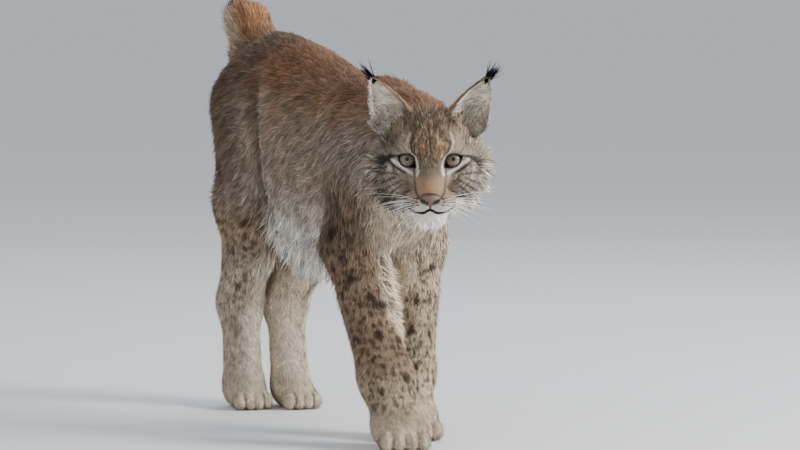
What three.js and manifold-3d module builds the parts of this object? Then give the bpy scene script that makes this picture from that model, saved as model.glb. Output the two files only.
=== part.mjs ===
// A Eurasian lynx in its winter coat, life size, walking and looking at the viewer: a still model.
// Millimetres, +Z up. The animal faces -Y, its left side is +X, and its soles stand on z = 0.
// The animal is one smooth body of blended forms, cut by planes into nodes that meet face to face.

import * as THREE from "three";
import { mergeVertices } from "three/addons/utils/BufferGeometryUtils.js";
import Module from "manifold-3d";

const wasm = await Module();
wasm.setup();

const GAP = 0.3;
const FAR = 3000;
const RIGHT = -1;
const LEFT = 1;
const DEG = Math.PI / 180;
const at = (x, y, z) => new THREE.Vector3(x, y, z);

// Cell sizes of the faceted skin, finer where the animal has finer forms
const CELL = { torso: 28, neck: 25, leg: 23.5, paw: 15, tail: 19, head: 10.6 };

// Trunk, from the breast to the buttocks: its half depth is r, and its half width is less
const TRUNK_WIDTH_RATIO = 0.74;
const TRUNK = [
  { p: at(0, -250, 435), r: 118 },
  { p: at(0, -140, 450), r: 144 },
  { p: at(0, 20, 472), r: 152 },
  { p: at(0, 140, 512), r: 143 },
  { p: at(0, 238, 550), r: 120 },
  { p: at(0, 296, 562), r: 88 },
];
const NECK = [
  { p: at(0, -190, 490), r: 104 },
  { p: at(-4, -300, 486), r: 98 },
  { p: at(-20, -410, 470), r: 86 },
];
const TAIL = [
  { p: at(0, 316, 606), r: 44 },
  { p: at(-2, 338, 654), r: 44 },
  { p: at(-4, 358, 688), r: 42 },
  { p: at(-6, 396, 700), r: 34 },
];
const FORELEG = {
  [RIGHT]: {
    scapula: { p: at(-36, -185, 548), r: 40 },
    shoulder: { p: at(-52, -258, 440), r: 60 },
    elbow: { p: at(-66, -225, 325), r: 52 },
    wrist: { p: at(-59, -348, 116), r: 45 },
    fetlock: { p: at(-52, -374, 55), r: 41 },
    paw: at(-50, -390, 0),
    yaw: -16 * DEG,
  },
  [LEFT]: {
    scapula: { p: at(36, -180, 556), r: 40 },
    shoulder: { p: at(54, -250, 440), r: 60 },
    elbow: { p: at(66, -205, 322), r: 52 },
    wrist: { p: at(33, -250, 112), r: 41 },
    fetlock: { p: at(26, -260, 55), r: 40 },
    paw: at(23, -274, 0),
    yaw: -6 * DEG,
  },
};
const HINDLEG = {
  [RIGHT]: {
    hip: { p: at(-46, 238, 545), r: 84 },
    ischium: { p: at(-40, 306, 525), r: 62 },
    hamstring: { p: at(-60, 262, 370), r: 50 },
    knee: { p: at(-66, 165, 355), r: 58 },
    hock: { p: at(-48, 303, 190), r: 37 },
    ankle: { p: at(-50, 286, 60), r: 36 },
    paw: at(-52, 262, 0),
    yaw: -6 * DEG,
  },
  [LEFT]: {
    hip: { p: at(46, 232, 545), r: 84 },
    ischium: { p: at(40, 306, 525), r: 62 },
    hamstring: { p: at(58, 255, 370), r: 50 },
    knee: { p: at(66, 135, 350), r: 58 },
    hock: { p: at(36, 292, 190), r: 37 },
    ankle: { p: at(30, 258, 60), r: 35 },
    paw: at(30, 232, 0),
    yaw: -4 * DEG,
  },
};
const FOREPAW = { halfWidth: 45, halfLength: 52, height: 62, toeRadius: 14 };
const HINDPAW = { halfWidth: 37, halfLength: 54, height: 54, toeRadius: 12 };

// Head frame: the origin is midway between the eyeballs, -Y is where the animal looks
const HEAD = { p: at(-60, -520, 481), yaw: -25 * DEG, pitch: 13 * DEG };
const EYE = { p: at(37, 2, 0), r: 14, lid: 2.6 };
const EAR = {
  base: at(57, 52, 44),
  tip: at(91, 54, 121),
  halfWidth: 33,
  depth: 32,
  wall: 3.6,
  outward: 0.22,
};
const NOSE = { p: at(0, -66, -47), r: at(17, 10, 11.5) };
const LIDS = { halfWidth: 13, upper: 8, lower: 9, tilt: 14 * DEG };
const LIPS = { z: -64, y: -8, halfWidth: 46, length: 54, sweep: 84 * DEG, droop: 3.5, rise: 7, gap: 1.8 };

// Locks of long hair: how many there are, and the length, width and thickness of one
const TUFT = { length: 46, width: 11, thickness: 6 };
const RUFF = { rows: 2, each: 7, length: 40, width: 15, thickness: 7 };
const FRINGE = { rows: 3, each: 9, front: -175, step: 36, length: 62, width: 24, thickness: 9 };
const BREAST = { each: 6, length: 56, width: 32, thickness: 8 };
const ROOT_DEPTH = 5;

// Cutting planes between nodes: a point on the plane, and the way out of the torso
const CUT = {
  neck: { p: at(0, -200, 600), n: at(0, -0.75, 0.66) },
  head: { p: at(-22, -428, 478), n: at(-0.36, -0.92, 0.12) },
  tail: { p: at(0, 330, 628), n: at(-0.1, 0.45, 0.9) },
  foreleg: { p: at(0, -225, 300), n: at(0, -0.35, -1) },
  hindleg: { p: at(0, 200, 415), n: at(0.12, 0.72, -0.69) },
};
const PAW_CUT_HEIGHT = 58;

// Fields are functions of x, y and z in millimetres, negative inside a form

function softMin(a, b, k) {
  const h = Math.max(k - Math.abs(a - b), 0) / k;
  return Math.min(a, b) - (h * h * k) / 4;
}

function blend(k, ...fields) {
  return (x, y, z) => fields.reduce((d, field) => softMin(d, field(x, y, z), k), 1e6);
}

function carve(k, body, tool) {
  return (x, y, z) => -softMin(-body(x, y, z), tool(x, y, z), k);
}

function ellipsoid(c, r) {
  return (x, y, z) => {
    const [u, v, w] = [(x - c.x) / r.x, (y - c.y) / r.y, (z - c.z) / r.z];
    const near = Math.hypot(u, v, w);
    const slope = Math.hypot(u / r.x, v / r.y, w / r.z);
    return slope > 0 ? (near * (near - 1)) / slope : -Math.min(r.x, r.y, r.z);
  };
}

// A ball-ended form from station a to station b, each with a place p and a radius r
function taper(a, b) {
  const along = b.p.clone().sub(a.p);
  const length2 = along.lengthSq();
  return (x, y, z) => {
    const [dx, dy, dz] = [x - a.p.x, y - a.p.y, z - a.p.z];
    const t = THREE.MathUtils.clamp((dx * along.x + dy * along.y + dz * along.z) / length2, 0, 1);
    const gone = Math.hypot(dx - t * along.x, dy - t * along.y, dz - t * along.z);
    return gone - THREE.MathUtils.lerp(a.r, b.r, t);
  };
}

function chain(k, ...stations) {
  return blend(k, ...stations.slice(1).map((station, i) => taper(stations[i], station)));
}

function narrowed(field, ratio) {
  return (x, y, z) => field(x / ratio, y, z) * (0.5 + ratio / 2);
}

function placed(field, p, yaw, pitch = 0) {
  const turn = new THREE.Matrix4().makeRotationFromEuler(new THREE.Euler(pitch, 0, yaw, "ZXY"));
  const e = turn.setPosition(p).invert().elements;
  return (x, y, z) =>
    field(
      e[0] * x + e[4] * y + e[8] * z + e[12],
      e[1] * x + e[5] * y + e[9] * z + e[13],
      e[2] * x + e[6] * y + e[10] * z + e[14],
    );
}

const mirrored = (v, side) => at(v.x * side, v.y, v.z);
const bothSides = (make) => [RIGHT, LEFT].map(make);

// The animal's forms

const trunk = narrowed(chain(60, ...TRUNK), TRUNK_WIDTH_RATIO);
const bellyFur = narrowed(
  chain(50, { p: at(0, -150, 345), r: 60 }, { p: at(0, 20, 335), r: 66 }, { p: at(0, 150, 372), r: 55 }),
  1.1,
);
const neck = chain(50, ...NECK);

function forelegField(side) {
  const j = FORELEG[side];
  return blend(
    30,
    chain(40, j.scapula, j.shoulder, j.elbow),
    chain(24, j.elbow, j.wrist, j.fetlock),
    pawField(j, FOREPAW),
  );
}

function hindlegField(side) {
  const j = HINDLEG[side];
  return blend(
    34,
    chain(50, j.hip, j.knee),
    chain(40, j.ischium, j.hamstring, { p: j.hock.p, r: j.hock.r - 7 }),
    chain(30, { p: j.knee.p, r: j.knee.r - 6 }, j.hock),
    chain(20, j.hock, j.ankle),
    pawField(j, HINDPAW),
  );
}

function pawField(leg, size) {
  const toes = [-1.5, -0.5, 0.5, 1.5].map((step) => {
    const reach = size.halfLength - 13 - 4 * Math.abs(step);
    const centre = at(step * size.halfWidth * 0.45, -reach, size.toeRadius + 4);
    return ellipsoid(centre, at(size.toeRadius, size.toeRadius * 1.7, size.toeRadius + 5));
  });
  const pad = at(size.halfWidth, size.halfLength, size.height * 0.56);
  const back = ellipsoid(at(0, 6, size.height * 0.46), pad);
  return placed(blend(8, back, ...toes), leg.paw, leg.yaw);
}

const headForms = blend(
  18,
  ellipsoid(at(0, 54, 6), at(68, 84, 64)),
  ellipsoid(at(0, 8, 20), at(52, 40, 42)),
  ...bothSides((s) => ellipsoid(at(s * 50, 26, -26), at(38, 50, 44))),
  taper({ p: at(0, 0, -8), r: 33 }, { p: at(0, -44, -40), r: 23 }),
  taper({ p: at(0, 30, -62), r: 48 }, { p: at(0, -22, -76), r: 28 }),
);
const muzzle = blend(
  9,
  headForms,
  ...bothSides((s) => ellipsoid(at(s * 19, -43, -56), at(25, 25, 20))),
  ellipsoid(at(0, -38, -82), at(25, 22, 16)),
);
const sockets = bothSides((s) => ellipsoid(at(s * 37, -20, -2), at(21, 15, 15)));
const lids = bothSides((s) => ellipsoid(mirrored(EYE.p, s), at(1, 1, 1).multiplyScalar(EYE.r + EYE.lid)));
const ruffPlain = bothSides((s) =>
  taper({ p: at(s * 59, 56, -14), r: 36 }, { p: at(s * 47, 32, -64), r: 31 }),
);
const face = blend(5, carve(10, carve(10, muzzle, sockets[0]), sockets[1]), ...lids);
const faceInHead = blend(16, face, ...ruffPlain);
const head = placed(faceInHead, HEAD.p, HEAD.yaw, HEAD.pitch);

// Solids

function solidOf(geometry) {
  const bare = geometry.clone();
  bare.deleteAttribute("normal");
  bare.deleteAttribute("uv");
  const merged = mergeVertices(bare, 1e-4);
  const vertProperties = new Float32Array(merged.attributes.position.array);
  const triVerts = new Uint32Array(merged.index.array);
  return new wasm.Manifold(new wasm.Mesh({ numProp: 3, vertProperties, triVerts }));
}

// The skin where a field is zero, as one closed surface of quads on a grid, moved onto the form
function skin(field, low, high, cell) {
  const count = high.clone().sub(low).divideScalar(cell).ceil().addScalar(1);
  const [nx, ny, nz] = count.toArray();
  const place = (i, j, k) => (k * ny + j) * nx + i;
  const value = new Float32Array(nx * ny * nz);
  for (let k = 0; k < nz; k++)
    for (let j = 0; j < ny; j++)
      for (let i = 0; i < nx; i++) {
        const d = field(low.x + i * cell, low.y + j * cell, low.z + k * cell);
        const onRim = !i || !j || !k || i === nx - 1 || j === ny - 1 || k === nz - 1;
        value[place(i, j, k)] = onRim ? Math.max(d, cell / 10) : d;
      }
  const corners = [0, 1].flatMap((c) => [0, 1].flatMap((b) => [0, 1].map((a) => [a, b, c])));
  const edges = corners.flatMap((from) =>
    [0, 1, 2].filter((axis) => !from[axis]).map((axis) => [from, from.map((v, n) => (n === axis ? 1 : v))]),
  );
  const vertexOf = new Map();
  const position = [];
  for (let k = 0; k < nz - 1; k++)
    for (let j = 0; j < ny - 1; j++)
      for (let i = 0; i < nx - 1; i++) {
        const valueAt = ([a, b, c]) => value[place(i + a, j + b, k + c)];
        const crossings = edges.filter(([a, b]) => valueAt(a) < 0 !== valueAt(b) < 0);
        if (!crossings.length) continue;
        const mean = at(0, 0, 0);
        for (const [a, b] of crossings) {
          const t = valueAt(a) / (valueAt(a) - valueAt(b));
          mean.add(at(...a).lerp(at(...b), t));
        }
        mean.divideScalar(crossings.length).add(at(i, j, k)).multiplyScalar(cell).add(low);
        vertexOf.set(place(i, j, k), position.length / 3);
        position.push(...ontoSkin(field, mean, cell).toArray());
      }
  const index = [];
  const steps = [place(1, 0, 0), place(0, 1, 0), place(0, 0, 1)];
  for (let k = 0; k < nz - 1; k++)
    for (let j = 0; j < ny - 1; j++)
      for (let i = 0; i < nx - 1; i++)
        for (let axis = 0; axis < 3; axis++) {
          const here = place(i, j, k);
          const inside = value[here] < 0;
          if (inside === value[here + steps[axis]] < 0) continue;
          const [u, v] = [steps[(axis + 1) % 3], steps[(axis + 2) % 3]];
          const ring = [here - u - v, here - v, here, here - u].map((n) => vertexOf.get(n));
          if (!inside) ring.reverse();
          index.push(ring[0], ring[1], ring[2], ring[0], ring[2], ring[3]);
        }
  const mesh = new wasm.Mesh({
    numProp: 3,
    vertProperties: new Float32Array(position),
    triVerts: new Uint32Array(index),
  });
  return new wasm.Manifold(mesh);
}

function ontoSkin(field, start, reach) {
  const p = start.clone();
  const h = 0.5;
  for (let pass = 0; pass < 3; pass++) {
    const d = field(p.x, p.y, p.z);
    const slope = at(
      field(p.x + h, p.y, p.z) - field(p.x - h, p.y, p.z),
      field(p.x, p.y + h, p.z) - field(p.x, p.y - h, p.z),
      field(p.x, p.y, p.z + h) - field(p.x, p.y, p.z - h),
    ).divideScalar(2 * h);
    p.addScaledVector(slope, -d / Math.max(slope.lengthSq(), 0.1));
  }
  return p.distanceTo(start) < reach * 0.6 ? p : start;
}

// The side of a plane that its normal points away from, grown by a gap
function behind(cut, gap = 0) {
  const n = cut.n.clone().normalize();
  const block = new THREE.BoxGeometry(2 * FAR, 2 * FAR, 2 * FAR).translate(0, 0, -FAR);
  block.applyQuaternion(new THREE.Quaternion().setFromUnitVectors(at(0, 0, 1), n));
  block.translate(...cut.p.clone().addScaledVector(n, gap).toArray());
  return solidOf(block);
}

const flipped = (cut) => ({ p: cut.p, n: cut.n.clone().negate() });
const ahead = (cut, gap = 0) => behind(flipped(cut), gap);
const common = (...solids) => solids.reduce((a, b) => a.intersect(b));
const without = (solid, ...tools) => tools.reduce((a, b) => a.subtract(b), solid);

function largest(solid) {
  return solid.decompose().sort((a, b) => b.volume() - a.volume())[0];
}

const sideCut = (cut, side) => ({ p: cut.p, n: mirrored(cut.n, side) });
const midline = (side) => ({ p: at(0, 0, 0), n: at(-side, 0, 0) });
const floor = { p: at(0, 0, 0), n: at(0, 0, -1) };
const pawTop = { p: at(0, 0, PAW_CUT_HEIGHT), n: at(0, 0, 1) };

const midway = { p: at(0, 0, 0), n: at(0, 1, 0) };

// The space of one leg, on its side of the midline and past its cut from the torso
function forelegSpace(side, gap) {
  return common(ahead(sideCut(CUT.foreleg, side), gap), behind(midline(side), gap), behind(midway));
}

function hindlegSpace(side, gap) {
  const past = common(ahead(sideCut(CUT.hindleg, side), gap), behind(midline(side), gap), ahead(midway));
  return past.subtract(ahead(CUT.tail, GAP - gap));
}

const rump = blend(45, trunk, ...bothSides(hindlegField), chain(20, ...TAIL));

function torsoSolid() {
  const body = blend(45, rump, neck, bellyFur, ...bothSides(forelegField));
  const whole = skin(body, at(-190, -480, 150), at(190, 440, 760), CELL.torso);
  const legs = bothSides((s) => [forelegSpace(s, GAP), hindlegSpace(s, GAP)]).flat();
  const bare = largest(without(whole, ahead(CUT.neck, GAP), ahead(CUT.tail, GAP), ...legs));
  return without(bodyLocks(body).reduce((sum, lock) => sum.add(lock), bare), ...legs);
}

const nape = blend(45, trunk, neck, ...bothSides(forelegField), head);

function neckSolid(grow = 0) {
  const whole = skin((x, y, z) => nape(x, y, z) - grow, at(-170, -560, 240), at(170, -160, 660), CELL.neck);
  return common(whole, ahead(CUT.neck, grow), behind(CUT.head, grow));
}

function tailSolid() {
  const whole = skin(rump, at(-120, 260, 540), at(120, 480, 800), CELL.tail);
  return common(whole, ahead(CUT.tail));
}

function legSolids(side, field, joints, space) {
  const whole = blend(45, trunk, bellyFur, field(side));
  const { paw } = joints[side];
  const low = at(side < 0 ? -190 : -30, paw.y - 150, PAW_CUT_HEIGHT - 30);
  const high = at(side < 0 ? 30 : 190, paw.y + 270, 640);
  const leg = common(skin(whole, low, high, CELL.leg), space, ahead(pawTop, -GAP));
  const reach = at(78, 98, 0);
  const footLow = paw.clone().sub(reach).setZ(-20);
  const footHigh = paw.clone().add(reach).setZ(PAW_CUT_HEIGHT + 20);
  const foot = common(skin(whole, footLow, footHigh, CELL.paw), behind(pawTop), behind(floor));
  return [largest(leg), largest(foot)];
}

// Solids of the head are made in the head's frame, and then set where the head is

const headMatrix = new THREE.Matrix4()
  .makeRotationFromEuler(new THREE.Euler(HEAD.pitch, 0, HEAD.yaw, "ZXY"))
  .setPosition(HEAD.p);
const inHead = (geometry) => solidOf(geometry.applyMatrix4(headMatrix));
const evenly = (r) => at(r, r, r);

function ball(c, r, around = 20) {
  const sphere = new THREE.SphereGeometry(1, around, Math.round(around * 0.7));
  return inHead(sphere.scale(r.x, r.y, r.z).translate(c.x, c.y, c.z));
}

const eyeBall = (side, gap = 0) => ball(mirrored(EYE.p, side), evenly(EYE.r + gap), 12);

// The almond between the lids, as a prism that runs forwards from the middle of the eyeball
function lidOpening(side) {
  const almond = new THREE.Shape();
  almond.moveTo(-LIDS.halfWidth * side, 0);
  almond.quadraticCurveTo(-LIDS.halfWidth * 0.3 * side, LIDS.upper * 1.9, LIDS.halfWidth * side, 0);
  almond.quadraticCurveTo(-LIDS.halfWidth * 0.1 * side, -LIDS.lower * 1.9, -LIDS.halfWidth * side, 0);
  const prism = new THREE.ExtrudeGeometry(almond, { depth: 50, bevelEnabled: false, curveSegments: 7 });
  prism.rotateX(90 * DEG).rotateY(-LIDS.tilt * side);
  return inHead(prism.translate(EYE.p.x * side, EYE.p.y, EYE.p.z));
}

// A closed body through rings of equally many points, which its caps join across in strips
function loft(rings, matrix = headMatrix) {
  const n = rings[0].length;
  const position = rings.flat().flatMap((p) => p.clone().applyMatrix4(matrix).toArray());
  const index = [];
  const quad = (a, b, c, d) => index.push(a, b, c, a, c, d);
  for (let ring = 0; ring < rings.length - 1; ring++)
    for (let i = 0; i < n; i++) {
      const next = (i + 1) % n;
      quad(ring * n + i, ring * n + next, (ring + 1) * n + next, (ring + 1) * n + i);
    }
  const last = (rings.length - 1) * n;
  for (let i = 0; i < n / 2 - 1; i++) {
    quad(i, n - 1 - i, n - 2 - i, i + 1);
    quad(last + i, last + i + 1, last + n - 2 - i, last + n - 1 - i);
  }
  const make = (triVerts) =>
    new wasm.Manifold(new wasm.Mesh({ numProp: 3, vertProperties: new Float32Array(position), triVerts }));
  const made = make(new Uint32Array(index));
  return made.volume() > 0 ? made : make(new Uint32Array(index.reverse()));
}

// The line between the lips, as a thin curved sheet that crosses the skin of the muzzle
function lipGroove() {
  const rings = [];
  for (let step = -8; step <= 8; step++) {
    const turn = (step / 8) * LIPS.sweep;
    const droop = LIPS.droop * Math.sin(Math.min(1, Math.abs(step) / 4) * 90 * DEG);
    const z = LIPS.z - droop + (LIPS.rise * step ** 2) / 64;
    const point = (share, lift) =>
      at(share * LIPS.halfWidth * Math.sin(turn), LIPS.y - share * LIPS.length * Math.cos(turn), z + lift);
    const half = LIPS.gap / 2;
    rings.push([point(1.3, half), point(0.8, half), point(0.8, -half), point(1.3, -half)]);
  }
  return loft(rings);
}

// The cup of an ear, open to the front, from below the skin of the skull to its tip
function pinna(side) {
  const up = EAR.tip.clone().sub(EAR.base).setX((EAR.tip.x - EAR.base.x) * side);
  const front = at(EAR.outward * side, -1, 0.1).cross(up).cross(up).negate().normalize();
  const across = up.clone().cross(front).normalize();
  const rings = [];
  for (let step = -1; step <= 7; step++) {
    const t = step / 7;
    const width = EAR.halfWidth * (1 - Math.max(t, 0) ** 1.6) ** 0.9 + 2;
    const depth = EAR.depth * (1 - Math.max(t, 0) ** 1.3) + 2.5;
    const middle = mirrored(EAR.base, side).addScaledVector(up, t);
    const arc = (inset) =>
      [-4, -3, -2, -1, 0, 1, 2, 3, 4].map((n) => {
        const turn = (n / 4) * 88 * DEG;
        const out = Math.max(width - inset, 0.4) * Math.sin(turn);
        const back = Math.max(depth - inset, 0.2) * Math.cos(turn);
        return middle.clone().addScaledVector(across, out).addScaledVector(front, -back);
      });
    rings.push([...arc(0), ...arc(EAR.wall * (1 - Math.max(t, 0) * 0.6)).reverse()]);
  }
  return loft(rings);
}

// A flat lock of hair that tapers from its root and bends on the way to its tip
function lock({ root, along, flat, bend, length, width, thickness }, matrix) {
  const across = along.clone().cross(flat).normalize();
  const rings = [0, 0.35, 0.7, 1].map((t) => {
    const middle = root.clone().addScaledVector(along, length * t).addScaledVector(bend, length * t * t);
    const share = t < 0.3 ? 1 : 1 - ((t - 0.3) / 0.7) ** 1.4;
    const [w, h] = [Math.max(width * share, 1) / 2, Math.max(thickness * share, 0.8) / 2];
    return [
      middle.clone().addScaledVector(across, w),
      middle.clone().addScaledVector(flat, h),
      middle.clone().addScaledVector(across, -w),
      middle.clone().addScaledVector(flat, -h),
    ];
  });
  return loft(rings, matrix);
}

// The direction nearest to out that is square to along
function levelled(out, along) {
  return out.clone().addScaledVector(along, -out.dot(along)).normalize();
}

// The point at a root's depth under the skin, on the way out
function rootIn(field, from, towards) {
  const p = from.clone();
  while (field(p.x, p.y, p.z) < -ROOT_DEPTH) p.addScaledVector(towards, 1.5);
  return p;
}

function earSolid(side, skull) {
  const tufts = [-1, 0, 1].map((n) =>
    lock({
      ...TUFT,
      root: mirrored(EAR.tip, side).lerp(mirrored(EAR.base, side), 0.16),
      along: at((0.5 + 0.12 * n) * side, 0.3 + 0.1 * n, 0.8).normalize(),
      flat: at(0, 1, -0.3).normalize(),
      bend: at(0.12 * side, 0.1, 0),
      length: TUFT.length * (n ? 0.7 : 1),
    }),
  );
  return largest(without(tufts.reduce((ear, tuft) => ear.add(tuft), pinna(side)), skull));
}

// The ruff hangs from the cheeks in rows, from under the ear to beside the chin
function ruffLocks(side) {
  const locks = [];
  for (let row = 0; row < RUFF.rows; row++)
    for (let n = 0; n < RUFF.each; n++) {
      const share = (n + row / 2) / RUFF.each;
      const turn = (8 - 78 * share) * DEG;
      const out = at(side * Math.cos(turn), 0.35 * row - 0.12, Math.sin(turn)).normalize();
      const along = at(side * (0.42 - 0.3 * share), 0.45, -0.45 - 0.4 * share).normalize();
      locks.push(
        lock({
          ...RUFF,
          root: rootIn(faceInHead, at(0, 52, -18), out),
          along,
          flat: levelled(out, along),
          bend: out.clone().multiplyScalar(-0.12),
          length: RUFF.length * (0.8 + 0.3 * Math.sin(share * 180 * DEG)),
        }),
      );
    }
  return locks;
}

// Long hair under the belly, and under the breast between the forelegs
function bodyLocks(field) {
  const locks = [];
  const hang = (size, from, out, along, bend) => {
    const root = rootIn(field, from, out.normalize());
    const flat = levelled(out, along.normalize());
    locks.push(lock({ ...size, root, along, flat, bend }, new THREE.Matrix4()));
  };
  for (let row = 0; row < FRINGE.rows; row++)
    for (let n = 0; n < FRINGE.each; n++) {
      const lean = row - (FRINGE.rows - 1) / 2;
      const from = at(lean * 20, FRINGE.front + FRINGE.step * (n + (row % 2) / 2), 420);
      hang(FRINGE, from, at(lean * 0.8, 0, -1), at(lean * 0.1, 0.8, -0.6), at(0, 0.1, 0.05));
    }
  for (let n = 0; n < BREAST.each; n++) {
    const lean = n - (BREAST.each - 1) / 2;
    const from = at(lean * 9, -220, 388 + (n % 2) * 16);
    hang(BREAST, from, at(lean * 0.2, -1, -0.2), at(lean * 0.05, -0.12, -1), at(0, 0.1, 0));
  }
  return locks;
}

const headBody = blend(40, neck, head);

function headBlock(grow) {
  const field = (x, y, z) => headBody(x, y, z) - grow;
  const low = HEAD.p.clone().add(at(-150, -110, -150));
  const high = HEAD.p.clone().add(at(190, 200, 120));
  return skin(field, low, high, CELL.head);
}

function noseSolid(gap = 0) {
  const pad = ball(NOSE.p, NOSE.r.clone().addScalar(gap), 12);
  if (gap) return pad;
  const nostrils = bothSides((s) => ball(at(6.5 * s, NOSE.p.y - 9, NOSE.p.z - 3), at(3.4, 5, 2.6), 8));
  return without(pad, ...nostrils);
}

function headSolid() {
  const hollows = bothSides((s) => [eyeBall(s, GAP), lidOpening(s)]).flat();
  const cut = without(headBlock(0), ...hollows, lipGroove(), noseSolid(GAP));
  const bare = largest(common(cut, ahead(CUT.head, -GAP)));
  const ruff = bothSides(ruffLocks).flat().reduce((sum, lock) => sum.add(lock));
  return largest(bare.add(ruff.subtract(neckSolid(GAP))));
}

// The figure

function material(colour, roughness = 0.9) {
  return new THREE.MeshStandardMaterial({ color: new THREE.Color(...colour), roughness, metalness: 0 });
}

const COAT = material([0.36, 0.28, 0.22]);
const PALE_COAT = material([0.55, 0.46, 0.37]);
const RUFOUS_COAT = material([0.5, 0.32, 0.2]);
const EAR_COAT = material([0.3, 0.26, 0.22]);
const EYE_GLOSS = material([0.42, 0.37, 0.3], 0.15);
const NOSE_LEATHER = material([0.42, 0.25, 0.2], 0.55);

const animal = new THREE.Group();

function add(name, solid, finish) {
  const { vertProperties, triVerts } = solid.getMesh();
  const geometry = new THREE.BufferGeometry();
  geometry.setAttribute("position", new THREE.BufferAttribute(new Float32Array(vertProperties), 3));
  geometry.setIndex(new THREE.BufferAttribute(new Uint32Array(triVerts), 1));
  geometry.computeBoundingBox();
  const middle = geometry.boundingBox.getCenter(at(0, 0, 0)).round();
  geometry.translate(-middle.x, -middle.y, -middle.z);
  const mesh = new THREE.Mesh(geometry, finish);
  mesh.name = name;
  mesh.position.copy(middle);
  animal.add(mesh);
}

add("torso", largest(torsoSolid()), COAT);
add("neck", largest(neckSolid()), COAT);
add("head", headSolid(), COAT);
add("nose", noseSolid(), NOSE_LEATHER);
add("tail", largest(tailSolid()), RUFOUS_COAT);
const skullSpace = headBlock(GAP);
for (const [side, word] of [[RIGHT, "right"], [LEFT, "left"]]) {
  add(`ear_${word}`, earSolid(side, skullSpace), EAR_COAT);
  add(`eye_${word}`, eyeBall(side), EYE_GLOSS);
  const [foreleg, forepaw] = legSolids(side, forelegField, FORELEG, forelegSpace(side, 0));
  const [hindleg, hindpaw] = legSolids(side, hindlegField, HINDLEG, hindlegSpace(side, 0));
  add(`foreleg_${word}`, foreleg, PALE_COAT);
  add(`forepaw_${word}`, forepaw, PALE_COAT);
  add(`hindleg_${word}`, hindleg, PALE_COAT);
  add(`hindpaw_${word}`, hindpaw, PALE_COAT);
}

// The frame's origin is under the middle of the figure, on the floor
const bounds = new THREE.Box3().setFromObject(animal, true);
const middle = bounds.getCenter(at(0, 0, 0));
animal.position.set(-middle.x, -middle.y, -bounds.min.z);

const lynx = new THREE.Group();
lynx.add(animal);

export default lynx;
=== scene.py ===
"""A Eurasian lynx in its winter coat, walking and looking at the viewer.

The skin is grown from the same blended forms as the solid model, a coat's depth inside it,
and tufts of hair stand over it along the lie of the coat. Lengths are in millimetres in the
animal's own frame until a mesh is made: it faces -Y, its left is +X, and its soles are on z = 0.
"""

import math

import bpy
import numpy as np
from mathutils import Matrix, Vector


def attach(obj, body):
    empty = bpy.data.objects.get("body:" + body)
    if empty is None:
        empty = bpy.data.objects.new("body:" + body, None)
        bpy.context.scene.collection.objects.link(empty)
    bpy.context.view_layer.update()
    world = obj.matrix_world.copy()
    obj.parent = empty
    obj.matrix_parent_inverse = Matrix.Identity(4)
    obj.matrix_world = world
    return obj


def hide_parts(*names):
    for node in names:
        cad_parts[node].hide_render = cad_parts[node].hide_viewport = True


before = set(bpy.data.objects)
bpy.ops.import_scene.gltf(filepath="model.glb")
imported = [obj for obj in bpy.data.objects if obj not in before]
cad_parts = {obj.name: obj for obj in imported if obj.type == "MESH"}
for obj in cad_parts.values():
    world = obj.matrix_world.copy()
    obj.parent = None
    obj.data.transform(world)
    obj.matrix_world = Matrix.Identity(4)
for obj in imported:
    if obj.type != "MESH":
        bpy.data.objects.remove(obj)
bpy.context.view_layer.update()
rng = np.random.default_rng(4700)

RIGHT, LEFT = -1, 1
WORD = {RIGHT: "right", LEFT: "left"}
DEG = math.pi / 180

# Forms of the solid model, each station a place and a radius
TRUNK_WIDTH_RATIO = 0.74
TRUNK = [
    ((0, -250, 435), 118),
    ((0, -140, 450), 144),
    ((0, 20, 472), 152),
    ((0, 140, 512), 143),
    ((0, 238, 550), 120),
    ((0, 296, 562), 88),
]
BELLY = [((0, -150, 345), 60), ((0, 20, 335), 66), ((0, 150, 372), 55)]
NECK = [((0, -190, 490), 104), ((-4, -300, 486), 98), ((-20, -410, 470), 86)]
TAIL = [((0, 316, 606), 44), ((-2, 338, 654), 44), ((-4, 358, 688), 42), ((-6, 396, 700), 34)]
FORELEG = {
    RIGHT: {
        "scapula": ((-36, -185, 548), 40),
        "shoulder": ((-52, -258, 440), 60),
        "elbow": ((-66, -225, 325), 52),
        "wrist": ((-59, -348, 116), 45),
        "fetlock": ((-52, -374, 55), 41),
        "paw": (-50, -390, 0),
        "yaw": -16 * DEG,
    },
    LEFT: {
        "scapula": ((36, -180, 556), 40),
        "shoulder": ((54, -250, 440), 60),
        "elbow": ((66, -205, 322), 52),
        "wrist": ((33, -250, 112), 41),
        "fetlock": ((26, -260, 55), 40),
        "paw": (23, -274, 0),
        "yaw": -6 * DEG,
    },
}
HINDLEG = {
    RIGHT: {
        "hip": ((-46, 238, 545), 84),
        "ischium": ((-40, 306, 525), 62),
        "hamstring": ((-60, 262, 370), 50),
        "knee": ((-66, 165, 355), 58),
        "hock": ((-48, 303, 190), 37),
        "ankle": ((-50, 286, 60), 36),
        "paw": (-52, 262, 0),
        "yaw": -6 * DEG,
    },
    LEFT: {
        "hip": ((46, 232, 545), 84),
        "ischium": ((40, 306, 525), 62),
        "hamstring": ((58, 255, 370), 50),
        "knee": ((66, 135, 350), 58),
        "hock": ((36, 292, 190), 37),
        "ankle": ((30, 258, 60), 35),
        "paw": (30, 232, 0),
        "yaw": -4 * DEG,
    },
}
FOREPAW = {"half_width": 45, "half_length": 52, "height": 62, "toe": 14}
HINDPAW = {"half_width": 37, "half_length": 54, "height": 54, "toe": 12}

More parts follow.
